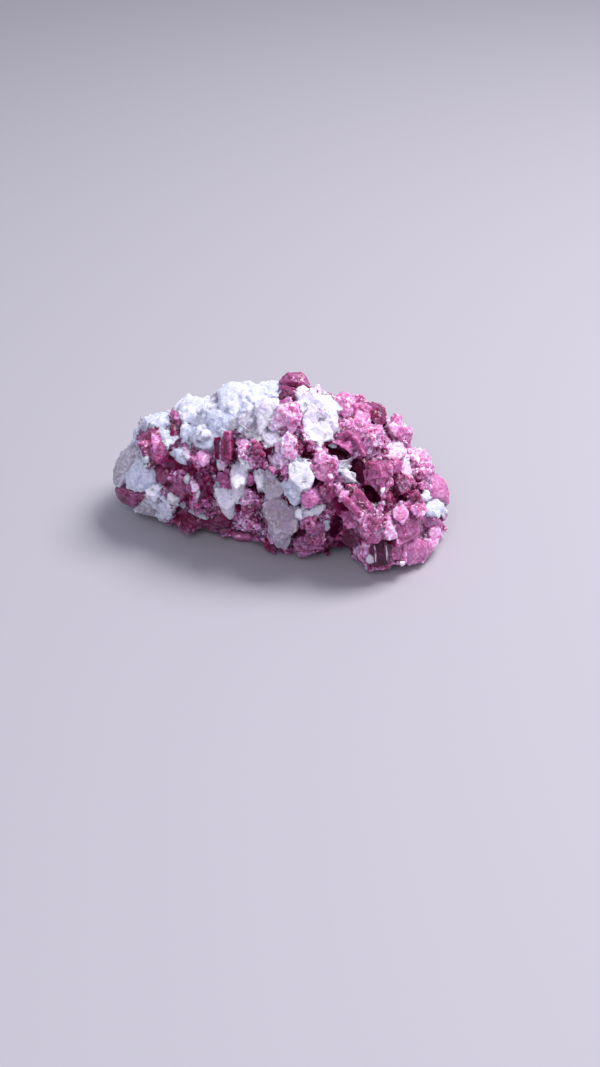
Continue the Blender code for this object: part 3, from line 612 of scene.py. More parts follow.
        (5.8, -4.6), (6.1, -4.1), (6.8, -3.9), (7.5, -4.0), (7.9, -4.4), (7.9, -5.2), (7.9, -5.9),
        (7.5, -6.7), (6.8, -6.6), (6.4, -6.1), (6.1, -5.6)
    )),
    ("foot's pale face", "candy", 0.35, 0, (0, 0.3), (
        (5.8, -4.4), (6.2, -4.1), (6.6, -4.3), (6.5, -4.9), (6.6, -5.3), (6.0, -5.0), (5.7, -4.7)
    )),
    ("foot's bright grain", "plate", 0.4, 0, (0.2, 0.4), (
        (6.9, -3.5), (7.3, -3.5), (7.3, -3.8), (7.0, -3.8)
    )),
    ("bright grain by the cleft", "petal", 0.35, 0, (0.2, 0.3), (
        (7.6, -2.3), (8.0, -2.2), (7.9, -2.6), (7.7, -2.7)
    )),
    ("pale block", "candy", 0.4, 0.1, (0.1, 0.2), (
        (8.6, -4.1), (8.9, -3.9), (9.7, -4.0), (9.8, -4.6), (9.4, -5.2), (9.0, -4.9), (8.6, -4.6)
    )),
    ("white shard", "petal", 0.4, 0, (0.1, 0.2), (
        (8.2, -4.9), (8.4, -4.9), (8.6, -5.4), (8.9, -5.9), (9.0, -6.3), (8.4, -6.4), (8.2, -6.1),
        (8.0, -5.8)
    )),
    ("foot's smooth flank", "dusty", 0.2, 0.2, (0.2, 0), (
        (8.8, -5.2), (9.3, -4.8), (10.0, -4.5), (10.5, -5.0), (10.7, -5.7), (10.3, -6.3), (9.5, -6.5),
        (8.9, -6.1)
    )),
    ("foot's last lump", "rosy", 0.2, 0.3, (0.2, -0.1), (
        (9.3, -6.7), (9.7, -6.4), (10.6, -6.3), (11.4, -6.7), (11.6, -7.3), (11.1, -7.9), (10.3, -8.3),
        (9.8, -8.4), (9.3, -7.9)
    )),
    ("pink ridge", "rosy", 0.2, 0.1, (0.1, 0.1), (
        (10.0, -4.1), (10.3, -3.5), (10.7, -3.2), (11.0, -3.6), (10.7, -4.2), (10.3, -4.5)
    )),
    ("clear crystal's neighbour", "dusty", 0.15, 0.1, (0.1, 0), (
        (8.4, -6.7), (9.1, -6.7), (9.3, -7.3), (9.1, -7.9), (8.6, -7.9)
    )),
    # painted shade in part: the underside is given a dark maroon
    ("dark underside", "maroon", 0, 0, (-0.1, -0.5), (
        (4.3, -5.6), (5.2, -5.5), (6.0, -5.9), (6.5, -6.5), (5.8, -6.6), (5.3, -7.0), (4.8, -6.7),
        (4.3, -6.2)
    )),
    ("arch", "gap", 0, 0, (-0.1, -0.4), (
        (3.7, -5.6), (4.1, -4.2), (4.5, -4.2), (4.6, -5.1), (4.9, -5.9), (5.2, -6.6), (4.6, -7.0),
        (3.9, -6.9), (3.5, -6.2)
    )),
    ("hollow behind the clear crystal", "deep", -0.1, 0, (0, 0), (
        (6.5, -6.7), (7.1, -6.4), (8.0, -6.2), (8.4, -6.8), (8.5, -7.6), (8.2, -8.2), (7.6, -8.3),
        (6.8, -8.2)
    )),
    ("clear crystal's pale root", "rosy", 0, 0, (0, 0), (
        (6.3, -7.7), (6.9, -7.4), (7.6, -7.6), (8.3, -7.3), (8.5, -7.7), (8.2, -8.3), (7.6, -8.5),
        (6.8, -8.3)
    )),
    ("clear crystal's left wall", "dusty", 0, 0, (-0.2, 0), (
        (6.2, -7.0), (6.6, -6.7), (6.9, -7.3), (6.8, -7.9), (6.4, -7.9)
    )),
    ("pink face by the clear crystal", "candy", 0.35, 0.1, (-0.2, 0.1), (
        (5.6, -7.2), (6.0, -6.6), (6.6, -6.5), (6.8, -7.1), (6.6, -7.8), (6.2, -8.1), (5.9, -7.9)
    )),
    # the right end
    ("right end's lump", "rosy", 0.2, 0.35, (0.4, 0.1), (
        (11.3, -1.5), (11.9, -1.2), (12.4, -1.5), (12.8, -2.1), (13.0, -2.8), (12.8, -3.4), (12.2, -3.4),
        (11.6, -3.1), (11.2, -2.4)
    )),
    # painted highlight: the white highlight on the right end's pink lumps is given a white lump
    ("right end's white lump", "milk", 0.2, 0.25, (0.4, 0), (
        (11.1, -3.9), (11.4, -3.4), (12.0, -3.2), (12.5, -3.6), (12.6, -4.1), (12.2, -4.5), (11.6, -4.6),
        (11.2, -4.3)
    )),
    ("right end's lilac grain", "mist", 0.3, 0.1, (0.2, 0.1), (
        (10.9, -2.8), (11.3, -2.7), (11.6, -3.1), (11.2, -3.4), (10.9, -3.2)
    )),
    ("right end's mauve lump", "dusty", 0.15, 0.2, (0.3, 0), (
        (10.5, -4.6), (11.1, -4.3), (11.7, -4.6), (12.3, -4.8), (12.5, -5.3), (11.9, -5.2), (11.3, -5.4),
        (10.7, -5.2)
    )),
    ("right end's pale lump", "candy", 0.2, 0.25, (0.4, 0), (
        (11.4, -5.2), (11.9, -5.1), (12.3, -5.6), (12.3, -6.1), (11.8, -6.4), (11.4, -6.0)
    )),
    ("right end's low lump", "candy", 0.15, 0.25, (0.4, -0.2), (
        (11.1, -6.3), (11.6, -6.4), (12.2, -6.2), (12.0, -6.9), (11.6, -7.3), (11.2, -7.0)
    )),
    # below the middle
    ("white facet", "plate", 0.35, 0, (0, 0.25), (
        (0.5, -0.9), (0.5, -0.4), (1.2, -0.2), (1.8, -0.5), (2.2, -0.8), (2.5, -1.4), (2.4, -1.9),
        (2.2, -2.3), (1.6, -2.4), (1.2, -2.1), (0.6, -1.5)
    )),
    ("white facet's shade", "milk", 0.35, 0, (-0.3, 0), (
        (-0.1, -2.0), (0.3, -1.5), (0.7, -1.5), (1.2, -2.2), (1.5, -2.5), (1.3, -3.2), (0.9, -3.8),
        (0.6, -3.4), (0.4, -2.9)
    )),
    ("rose lump", "rosy", 0.3, 0.2, (0, 0.1), (
        (1.4, -2.6), (1.9, -2.4), (2.4, -2.5), (2.8, -3.0), (2.8, -3.5), (2.3, -3.9), (1.8, -3.9),
        (1.5, -3.5)
    )),
    ("white hook", "plate", 0.35, 0.05, (0, 0.2), (
        (1.9, -4.2), (2.2, -3.9), (2.7, -3.9), (3.1, -3.5), (3.5, -3.5), (3.4, -3.9), (3.0, -4.1),
        (2.8, -4.5), (2.4, -4.6)
    )),
    ("white tooth", "plate", 0.4, 0.1, (0, 0.1), (
        (1.0, -4.1), (1.2, -3.9), (1.5, -3.9), (1.6, -4.6), (1.3, -4.7), (1.1, -4.5)
    )),
    ("mauve lump", "mauve", 0.2, 0.2, (0, 0), (
        (1.6, -5.0), (2.2, -4.7), (2.9, -4.9), (3.3, -5.2), (3.2, -5.7), (2.6, -6.0), (1.9, -5.8)
    )),
    ("mauve lump's white edge", "milk", 0.3, 0, (0.2, 0.1), (
        (3.2, -4.7), (3.6, -4.8), (3.7, -5.4), (3.5, -5.7), (3.2, -5.2)
    )),
    ("low lump", "mauve", 0.2, 0.25, (0, -0.1), (
        (0.8, -6.2), (1.4, -5.9), (2.2, -6.1), (2.9, -6.4), (3.0, -7.0), (2.5, -7.3), (1.9, -7.6),
        (1.3, -7.7), (0.9, -7.0)
    )),
    ("quartz face", "quartz", 0.3, 0, (-0.05, 0), (
        (-1.5, -3.5), (-0.9, -3.1), (-0.2, -3.2), (0.5, -3.9), (1.0, -4.1), (1.2, -4.9), (1.1, -5.6),
        (0.7, -5.9), (-0.1, -5.7), (-0.8, -5.2), (-1.2, -4.4)
    )),
    ("quartz foot", "quartz", 0.25, 0.1, (0, -0.1), (
        (-1.1, -5.6), (-0.2, -5.6), (0.7, -5.9), (0.6, -6.7), (0.2, -7.0), (-0.4, -6.9), (-0.8, -6.3)
    )),
    ("quartz's white spot", "plate", 0.4, 0.05, (0, 0.1), (
        (-0.4, -6.6), (-0.1, -6.3), (0.2, -6.7), (0, -7.0), (-0.3, -6.9)
    )),
    ("quartz's root", "quartz", 0.2, 0, (-0.1, 0.1), (
        (-1.4, -1.2), (-0.8, -1.2), (-0.2, -1.8), (0.2, -2.5), (-0.2, -3.0), (-1.1, -3.1), (-1.5, -2.5)
    )),
    ("lilac step", "candy", 0.25, 0, (0.1, 0.2), (
        (2.5, 0.4), (3.0, 0.5), (3.5, 0.2), (3.4, -0.4), (2.9, -0.5), (2.5, -0.2)
    )),
    ("mauve step", "dusty", 0.15, 0, (0.1, 0), (
        (2.2, -0.5), (2.8, -0.6), (3.4, -0.5), (4.0, -0.8), (4.4, -1.3), (3.9, -1.6), (3.1, -1.8),
        (2.6, -1.5), (2.4, -0.9)
    )),
    ("mauve step's grain", "candy", 0.3, 0, (0.2, 0.4), (
        (3.5, -1.2), (3.9, -1.2), (4.1, -1.5), (3.8, -1.6)
    )),
    ("maroon lump", "maroon", 0.15, 0.15, (0, 0), (
        (2.9, -2.2), (3.5, -1.9), (4.0, -2.2), (4.2, -3.0), (3.7, -3.5), (3.2, -3.2), (2.9, -2.7)
    )),
    ("deep face", "deep", 0.05, 0, (0, -0.2), (
        (4.0, -3.1), (4.5, -3.2), (5.1, -3.9), (4.6, -4.2), (4.2, -4.0), (3.9, -3.5)
    )),
    ("pale step", "candy", 0.3, 0, (0.1, 0.1), (
        (4.6, -2.5), (5.2, -2.5), (5.2, -3.0), (4.8, -3.2), (4.4, -3.0)
    )),
    # the white ring
    ("ring's left arm", "plate", 0.4, 0.1, (0.5, 0.6), (
        (-3.7, -0.4), (-3.2, -0.1), (-2.8, -0.5), (-2.4, -0.8), (-2.7, -1.4), (-3.0, -2.0), (-3.5, -2.3),
        (-3.9, -1.8), (-3.9, -0.9)
    )),
    ("ring's right arm", "plate", 0.35, 0.1, (0.4, 0.5), (
        (-2.2, -0.9), (-1.7, -1.0), (-1.4, -1.5), (-1.5, -2.3), (-1.9, -2.3), (-2.0, -1.6)
    )),
    ("ring's foot", "plate", 0.4, 0.1, (0.3, 0.6), (
        (-5.2, -2.2), (-4.9, -2.5), (-4.2, -2.3), (-3.5, -2.4), (-3.5, -3.1), (-3.9, -3.7), (-4.3, -3.9),
        (-4.8, -3.6), (-5.0, -3.1)
    )),
    ("ring's grain", "dusty", 0.8, 0.15, (0, 0.1), (
        (-2.9, -1.5), (-2.5, -1.2), (-2.1, -1.4), (-2.0, -1.9), (-2.4, -2.2), (-2.8, -2.1)
    )),
    ("ring's pink lump", "glitter", 0.75, 0.2, (0, 0.1), (
        (-3.4, -2.5), (-2.9, -2.2), (-2.4, -2.4), (-1.9, -2.7), (-1.9, -3.2), (-2.5, -3.6), (-3.1, -3.5),
        (-3.4, -3.1)
    )),
    ("ring's low grain", "rosy", 0.3, 0.1, (0, 0), (
        (-3.2, -3.5), (-2.8, -3.5), (-2.7, -3.9), (-3.1, -4.0)
    )),
    ("ring's shadow", "deep", 0, 0, (0, -0.3), (
        (-4.0, -3.8), (-3.6, -3.5), (-3.2, -3.9), (-3.4, -4.2), (-3.9, -4.1)
    )),
    # the left flank
    ("dark lump", "maroon", 0.15, 0.2, (0, -0.1), (
        (-5.1, -4.2), (-4.6, -3.9), (-4.0, -4.2), (-3.9, -4.8), (-4.2, -5.3), (-4.8, -5.2), (-5.2, -4.7)
    )),
    ("dark hollow", "deep", 0, 0, (0, -0.2), (
        (-6.2, -2.0), (-5.8, -1.9), (-5.5, -2.5), (-5.4, -3.2), (-5.9, -3.1), (-6.1, -2.5)
    )),
    ("flank's grain", "dusty", 0.25, 0.1, (0, 0.1), (
        (-6.2, -3.1), (-5.7, -3.2), (-5.4, -3.6), (-5.9, -3.8), (-6.2, -3.5)
    )),
    ("flank's face", "dusty", 0.2, 0, (0, 0.1), (
        (-4.9, -1.0), (-4.4, -1.0), (-4.0, -1.5), (-3.9, -2.1), (-4.2, -2.4), (-4.7, -2.2), (-5.0, -1.6)
    )),
    ("flank's pale step", "petal", 0.3, 0, (0.1, 0.2), (
        (-5.1, -0.1), (-4.6, 0), (-4.3, -0.5), (-4.5, -0.9), (-4.9, -0.9)
    )),
    ("dark prism's left face", "maroon", 0.3, 0, (-0.2, 0.1), (
        (-4.6, 1.6), (-4.0, 1.9), (-3.9, 0.9), (-3.9, -0.1), (-4.7, 0.2), (-4.8, 0.8)
    )),
    ("dark prism's right face", "deep", 0.3, 0, (0.4, 0), (
        (-3.9, 1.9), (-3.6, 1.7), (-3.5, 0.8), (-3.6, -0.2), (-3.9, -0.1), (-3.9, 0.9)
    )),
    ("step by the prism", "candy", 0.25, 0.05, (0, 0.2), (
        (-3.5, 1.6), (-3.0, 1.6), (-2.5, 1.4), (-2.7, 0.9), (-3.2, 0.8), (-3.5, 1.1)
    )),
    ("pink lump under the crest", "candy", 0.25, 0.2, (0, 0.1), (
        (-6.6, 0.5), (-6.1, 0.8), (-5.6, 0.6), (-5.3, 0.2), (-5.6, -0.3), (-6.1, -0.5), (-6.5, 0)
    )),
    ("mauve stripe", "mulberry", 0.1, 0, (0, 0), (
        (-6.9, 0.8), (-6.6, 0.7), (-6.5, -0.1), (-6.7, -0.5), (-7.0, -0.2)
    )),
    ("dark grain", "maroon", 0.25, 0.1, (0.1, 0), (
        (-5.7, -0.5), (-5.3, -0.4), (-5.0, -0.8), (-5.2, -1.2), (-5.6, -1.0)
    )),
    ("low dusty lump", "dusty", 0.15, 0.2, (0, -0.2), (
        (-3.9, -5.6), (-3.2, -5.6), (-2.3, -5.6), (-2.0, -6.0), (-2.5, -6.2), (-3.3, -6.2), (-3.8, -6.1)
    )),
    ("low glitter", "glitter", 0.15, 0.1, (0, 0), (
        (-3.6, -4.9), (-2.9, -4.8), (-2.0, -4.8), (-1.5, -5.2), (-1.9, -5.6), (-2.8, -5.6), (-3.5, -5.5)
    )),
    ("low maroon lump", "maroon", 0.15, 0.1, (0, -0.3), (
        (-1.5, -6.4), (-1.0, -6.4), (-0.5, -6.9), (-0.5, -7.5), (-1.1, -7.2), (-1.5, -6.8)
    )),
    ("vein", "olive", 0.25, 0, (0, 0.3), (
        (-7.9, -3.6), (-7.1, -3.8), (-6.3, -4.2), (-5.6, -4.4), (-5.9, -4.7), (-6.6, -4.4), (-7.4, -4.0)
    )),
)
print("named faces:", len(FACES))

# %% [markdown]
# ## A map of the growths
# Asking all patches and faces for every grain would be slow. They are painted once, in order, onto a fine
# grid over the display side, as on squared paper, and after that a growth is a single look at the grid.

# %% Paint the map
MAP_STEP = 0.1
MAP_LEFT, MAP_RIGHT, MAP_BOTTOM, MAP_TOP = -15.0, 15.0, -10.0, 8.0
BLUR = 0.12  # borders between growths are ragged by this much
growth_names = list(GROWTHS)
map_across, map_up = np.meshgrid(
    np.arange(MAP_LEFT, MAP_RIGHT, MAP_STEP), np.arange(MAP_BOTTOM, MAP_TOP, MAP_STEP)
)
growth_map = np.full(map_across.shape, -1)


def ellipse_mask(across, up, half_width, half_height, turn):
    """The squares of the map inside an ellipse."""
    c, s = math.cos(math.radians(turn)), math.sin(math.radians(turn))
    x, y = map_across - across, map_up - up
    return ((x * c + y * s) / half_width) ** 2 + ((y * c - x * s) / half_height) ** 2 < 1


def outline_mask(outline):
    """The squares of the map inside an outline: a line to the left crosses it an odd number of times."""
    inside = np.zeros(map_across.shape, bool)
    for (x1, y1), (x2, y2) in zip(outline, outline[1:] + outline[:1]):
        if y1 != y2:
            level = (y1 > map_up) != (y2 > map_up)
            inside ^= level & (map_across < x1 + (map_up - y1) * (x2 - x1) / (y2 - y1))
    return inside


for *ellipse, growth in PATCHES:
    growth_map[ellipse_mask(*ellipse)] = growth_names.index(growth)
for _, growth, *_, outline in FACES:
    growth_map[outline_mask(outline)] = growth_names.index(growth)
print("map: painted share", round(float((growth_map >= 0).mean()), 2))


def mapped_growth(across, up):
    """The growth on the map at a place of the display side, or None outside all patches."""
    column = int((across - MAP_LEFT) / MAP_STEP)
    row = int((up - MAP_BOTTOM) / MAP_STEP)
    if 0 <= row < growth_map.shape[0] and 0 <= column < growth_map.shape[1] and growth_map[row, column] >= 0:
        return growth_names[growth_map[row, column]]
    return None


def growth_at(point, seen, rng):
    """The growth at a point, by its patch if it faces the camera, and else by the rule."""
    mixed = np.array(point) + [rng.uniform(-RAGGED, RAGGED) for _ in range(3)]
    whiteness = mixed @ WHITE_SIDE + noise.noise(Vector(point) / CLUMP) * CLUMPING
    name = rng.choice(WHITE_RULE if whiteness > WHITE_LIMIT else PINK_RULE)
    if seen:
        across, up = display_place(Vector(point))
        name = mapped_growth(across + rng.uniform(-BLUR, BLUR), up + rng.uniform(-BLUR, BLUR)) or name
    return name


# %% [markdown]
# ## The solid as a base
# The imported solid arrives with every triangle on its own, as drawing programs like it. For joining shapes
# its corners have to be welded first, or it isn't a closed body. This copy is also drawn out or in a little
# at eight places of its outline. A search tree over its faces answers two questions quickly: where a line
# meets the stone, and whether the camera sees a point.

# %% Weld the base
WELD = 1e-4  # corners closer than this are one
PULLS = (
    # across, up, radius, how far to the right, how far up
    (-10.6, -4.3, 2.2, 0.0, 0.75),
    (-2.0, -6.9, 1.5, 0.0, 0.90),
    (5.1, -7.0, 1.6, 0.0, 1.30),
    (-8.2, 4.6, 1.8, 0.0, -0.60),
    (-1.7, 6.0, 1.4, 0.0, -0.60),
    (12.6, -4.0, 3.0, 0.30, -0.25),
    (7.9, 3.3, 2.2, 0.20, 0.50),
    (11.2, 0.2, 2.0, 0.35, 0.45),
)
base_bm = bmesh.new()
base_bm.from_mesh(solid.data)
bmesh.ops.scale(base_bm, verts=base_bm.verts, vec=(1 / MM, 1 / MM, 1 / MM))
bmesh.ops.remove_doubles(base_bm, verts=base_bm.verts, dist=WELD)
for across, up, radius, right, over in PULLS:
    for vert in base_bm.verts:
        place = display_place(vert.co)
        near = 1 - math.dist(place, (across, up)) ** 2 / radius**2
        if near > 0:
            vert.co += (ACROSS * right + UP * over) * near**2
base_bm.faces.ensure_lookup_table()
base_tree = BVHTree.FromBMesh(base_bm)
print("base:", len(base_bm.verts), "corners, open edges:", sum(not e.is_manifold for e in base_bm.edges))

# %% What the camera sees
ROUND_THE_EDGE = 2.0  # the map still holds this far behind the outline


def on_display_side(point):
    """Whether the map holds at a place on the base: the camera sees it, or it lies just round the edge."""
    front = base_tree.ray_cast(EYE, line_of_sight(*display_place(point)))[0]
    return front is None or (front - point).length < ROUND_THE_EDGE


# %% [markdown]
# ## Crystal shapes
# Every crystal is the convex hull of a few points: a broken block, a prism with long faces or a rounded
# lump. Hulls are closed and have flat faces, which is just what a small crystal is. A few dozen of each
# are made once, and every crystal of the heap is one of them, stretched, turned and set down.

# %% Points of a crystal
CORNER_REACH = (0.6, 1.0)  # a block's corners lie at these shares of a full box
BROKEN_CORNERS = 3
CUT = (-0.2, 0.5)  # a broken corner is cut back to these shares of its place
PRISM_SIDES, SIDE_SWAY, END_SLANT = 7, 0.3, 0.35
LUMP_POINTS, LUMP_REACH = 14, (0.85, 1.08)
GOLDEN_ANGLE = math.pi * (3 - math.sqrt(5))  # turning by this from point to point spreads them evenly


def block_points(rng):
    """A box with moved corners, some of them broken off."""
    points = []
    corners = list(itertools.product((-1, 1), repeat=3))
    broken = rng.sample(range(len(corners)), BROKEN_CORNERS)
    for i, corner in enumerate(corners):
        place = Vector([c * rng.uniform(*CORNER_REACH) for c in corner])
        if i in broken:
            for axis in range(3):
                cut = place.copy()
                cut[axis] *= rng.uniform(*CUT)
                points.append(cut)
        else:
            points.append(place)
    return points


def prism_points(rng):
    """A long prism along Y whose ends are broken at a slant."""
    turn = rng.uniform(0, math.tau)
    slants = [rng.uniform(-END_SLANT, END_SLANT) for _ in range(2)]
    points = []
    for i in range(PRISM_SIDES):
        angle = turn + math.tau * (i + rng.uniform(-SIDE_SWAY, SIDE_SWAY)) / PRISM_SIDES
        x, z = math.cos(angle), math.sin(angle)
        for end, slant in zip((-1, 1), slants):
            points.append(Vector((x, end + slant * x, z)))
    return points


def lump_points(rng):
    """Points spread evenly over a sphere, each moved a little."""
    points = []
    for i in range(LUMP_POINTS):
        y = 1 - 2 * (i + 0.5) / LUMP_POINTS
        radius = math.sqrt(1 - y * y)
        place = Vector((radius * math.cos(GOLDEN_ANGLE * i), y, radius * math.sin(GOLDEN_ANGLE * i)))
        points.append(place * rng.uniform(*LUMP_REACH))
    return points


# %% Hulls
VARIANTS = 24
SHAPE_SEED = 3


def shape_of(bm):
    """Corners and triangles of a mesh that is being built."""
    corners = np.array([vert.co[:] for vert in bm.verts])
    return corners, np.array([[vert.index for vert in face.verts] for face in bm.faces])


def hull(points):
    """Corners and triangles of the convex hull of some points."""
    bm = bmesh.new()
    for point in points:
        bm.verts.new(point)
    bmesh.ops.convex_hull(bm, input=bm.verts)
    bmesh.ops.delete(bm, geom=[v for v in bm.verts if not v.link_faces], context="VERTS")
    bmesh.ops.triangulate(bm, faces=bm.faces)
    bmesh.ops.recalc_face_normals(bm, faces=bm.faces)
    bm.verts.index_update()
    shape = shape_of(bm)
    bm.free()
    return shape


shape_rng = random.Random(SHAPE_SEED)
SHAPES = {
    name: [hull(points(shape_rng)) for _ in range(VARIANTS)]
    for name, points in (("block", block_points), ("prism", prism_points), ("lump", lump_points))
}
for name, hulls in SHAPES.items():
    print(name, "has about", sum(len(triangles) for _, triangles in hulls) // VARIANTS, "triangles")

# %% [markdown]
# ## The heap
# The heap is a list of closed shapes that lie in and over each other. Each of its triangles carries three
# marks: its mineral, its shade and how broken it is. The base comes first, and takes its marks from the map.


# %% The heap
class Heap:
    """Closed shapes, with a mineral, a shade and a brokenness on every triangle."""

    def __init__(self):
        self.corners, self.triangles, self.marks = [], [], []
        self.count = 0

    def add(self, shape, matrix, marks):
        corners, triangles = shape
        turn = np.array(matrix.to_3x3())
        self.corners.append(corners @ turn.T + np.array(matrix.translation))
        self.triangles.append(triangles + self.count)
        self.marks.append(np.broadcast_to(marks, (len(triangles), 3)))
        self.count += len(corners)

    def all_arrays(self):
        return np.concatenate(self.corners), np.concatenate(self.triangles), np.concatenate(self.marks)


BEYOND = 0.25  # how far a crystal may stand out of the solid's box
LOWEST, HIGHEST = np.array(cad_box) / MM + [[-BEYOND, -BEYOND, 0.0], [BEYOND, BEYOND, BEYOND]]


def inside_box(corners):
    """The corners, drawn back where they leave the solid's box or sink into the ground."""
    return np.clip(corners, LOWEST, HIGHEST)


# %% The base in the heap
BASE_SEED = 4


def new_marks(growth, rng):
    """The mineral, shade and brokenness of a crystal that belongs to a growth."""
    return growth.mineral, rng.uniform(*growth.shades), growth.broken


heap = Heap()
base_rng = random.Random(BASE_SEED)
base_marks = []
for face in base_bm.faces:
    middle = face.calc_center_median()
    growth = GROWTHS[growth_at(middle, on_display_side(middle), base_rng)]
    base_marks.append(new_marks(growth, base_rng))
heap.add(shape_of(base_bm), Matrix.Identity(4), np.array(base_marks))
print("heap: the base,", len(base_marks), "triangles")

# %% [markdown]
# ## Set the named crystals
# Each outline is carried along the lines of sight onto a plane through the stone's surface, so the face
# lies on the stone and keeps its look from the display side. A smaller copy of it deep in the stone closes
# the crystal, and the hull of both is added to the heap.

# %% Shape of a named crystal
FIT = 0.75  # the plane is laid through the stone at the outline's corners, drawn in by this
TRUST = 0.6  # how much of that plane's slope is kept
DEPTH = 0.9  # how deep a named crystal goes, as a share of its width
LEAST_DEPTH = 0.5
BACK = 0.8  # the width of the buried end, as a share of the outline
PROUD_SHARE = 0.75  # the crystals stand out by this share of their row's value
CROWNS = ((0.75, 0.65), (0.40, 1.00))  # a bulge's two steps: share of the outline, share of the height


def face_shape(outline, lean, proud, bulge):
    """The hull of a crystal with one face of this outline, laid on the stone, or None off the stone."""
    flat = [Vector(corner) for corner in outline]
    middle = sum(flat, Vector((0, 0))) / len(flat)
    samples = [middle] + [middle + (corner - middle) * FIT for corner in flat]
    hits = [base_tree.ray_cast(EYE, line_of_sight(*place))[0] for place in samples]
    hits = np.array([hit for hit in hits if hit])
    if len(hits) < 3:
        return None
    centre = Vector(hits.mean(0))
    slope = Vector(np.linalg.svd(hits - hits.mean(0))[2][2])
    slope *= math.copysign(1, slope.dot(TOWARD))
    normal = (slope * TRUST + TOWARD * (1 - TRUST) + ACROSS * lean[0] + UP * lean[1]).normalized()
    centre += TOWARD * (proud * PROUD_SHARE)
    front = []
    for corner in flat:
        ray = line_of_sight(*corner)
        front.append(EYE + ray * ((centre - EYE).dot(normal) / ray.dot(normal)))
    width = 2 * sum((corner - centre).length for corner in front) / len(front)
    depth = max(LEAST_DEPTH, DEPTH * width) + proud
    points = front + [centre + (corner - centre) * BACK - normal * depth for corner in front]
    for width, height in CROWNS if bulge else ():
        points += [centre + (corner - centre) * width + normal * (bulge * height) for corner in front]
    return hull(points)


# %% Set the named crystals
FACE_SEED = 8
face_rng = random.Random(FACE_SEED)
for name, growth, proud, bulge, lean, outline in FACES:
    crystal = face_shape(outline, lean, proud, bulge)
    if crystal is None:
        print("off the stone:", name)
    else:
        heap.add(crystal, Matrix.Identity(4), new_marks(GROWTHS[growth], face_rng))
print("heap: with the named crystals,", sum(len(triangles) for triangles in heap.triangles), "triangles")

# %% [markdown]
# ## The fine crust
# Real grains of 0.3 to 1.5 mm cover the larger crystals. They are spread at random over the base's faces,
# never closer than their sizes allow, and sunk so deep that only a corner or a face of each shows: the
# crystals grew at the same time, and none had room for its whole form. On the display side the crust is
# finer, and its growth decides size and density.

# %% Places for the fine crystals
CRUST_TRIES = 60000
COMMON_SIZE = (0.8, 0.2)  # the commonest size is this much of the smallest one and of the largest one
CLOSENESS = 0.26  # two grains keep this share of their sizes between their middles
HIDDEN_SIZE = 1.7  # grains on the sides away from the camera are larger by this
LOWEST_GRAIN = 0.25  # none grows below this height, where the stone rests
ROOM = 0.45  # a grain keeps this share of its size away from smooth faces and gaps
SMOOTH_DENSITY = 0.25  # a growth with no more grains than this is a smooth face or a gap
SMOOTH = [name for name, growth in GROWTHS.items() if growth.density <= SMOOTH_DENSITY]
CELL = 1.2  # grains are kept in boxes of this size, so that only near ones have to be compared


def crust_places(rng):
    """Candidate places on the base, by area, as (point, outward)."""
    areas = [face.calc_area() for face in base_bm.faces]
    for face in rng.choices(base_bm.faces, areas, k=CRUST_TRIES):
        a, b = sorted((rng.random(), rng.random()))
        corners = [vert.co for vert in face.verts]
        yield corners[0] * a + corners[1] * (b - a) + corners[2] * (1 - b), face.normal.copy()


def has_room(point, size, own):
    """Whether a grain at this point stays clear of the smooth faces of other growths."""
    across, up = display_place(point)
    reach = size * ROOM
    around = ((reach, 0), (-reach, 0), (0, reach), (0, -reach))
    names = [mapped_growth(across + right, up + over) for right, over in around]
    return all(name == own or name not in SMOOTH for name in names)


def spaced_crust(rng):
    """The places that are kept, each with its growth's name and its size."""
    cells, kept = {}, []
    for point, outward in crust_places(rng):
        facing = on_display_side(point)
        name = growth_at(point, facing, rng)
        smallest, largest = GROWTHS[name].sizes
        size = rng.triangular(smallest, largest, smallest * COMMON_SIZE[0] + largest * COMMON_SIZE[1])
        if not facing:
            size *= HIDDEN_SIZE
        if rng.random() > GROWTHS[name].density or point.z < LOWEST_GRAIN:
            continue
        if facing and not has_room(point, size, name):
            continue
        cell = tuple(int(c // CELL) for c in point)
        around = itertools.product((-1, 0, 1), repeat=3)
        near = [o for step in around for o in cells.get(tuple(c + s for c, s in zip(cell, step)), ())]
        if any((point - other).length < CLOSENESS * (size + other_size) for other, other_size in near):
            continue
        cells.setdefault(cell, []).append((point, size))
        kept.append((point, outward, name, size))
    return kept


# %% Spread the fine crystals
CRUST_SEED = 21
STRETCH = (0.6, 1.2)  # a grain's three widths, as shares of its size
SWAY = 0.5  # how far a grain leans out of square, in radians
PROUD = (0.02, 0.26)  # how far a grain stands out, as a share of its size
PROBES = 8
EDGE_REACH = 0.45  # grains nearer to the outline than this share of their size are made
EDGE_SIZE, EDGE_HEIGHT = 0.7, 0.4  # smaller and lower by these, or they would swell the outline


def sticks_out(point, reach):
    """Whether a grain of this reach would show outside the stone's outline on the display side."""
    across, up = display_place(point)
    for i in range(PROBES):
        angle = math.tau * i / PROBES
        sight = line_of_sight(across + reach * math.cos(angle), up + reach * math.sin(angle))
        if base_tree.ray_cast(EYE, sight)[0] is None:
            return True
    return False


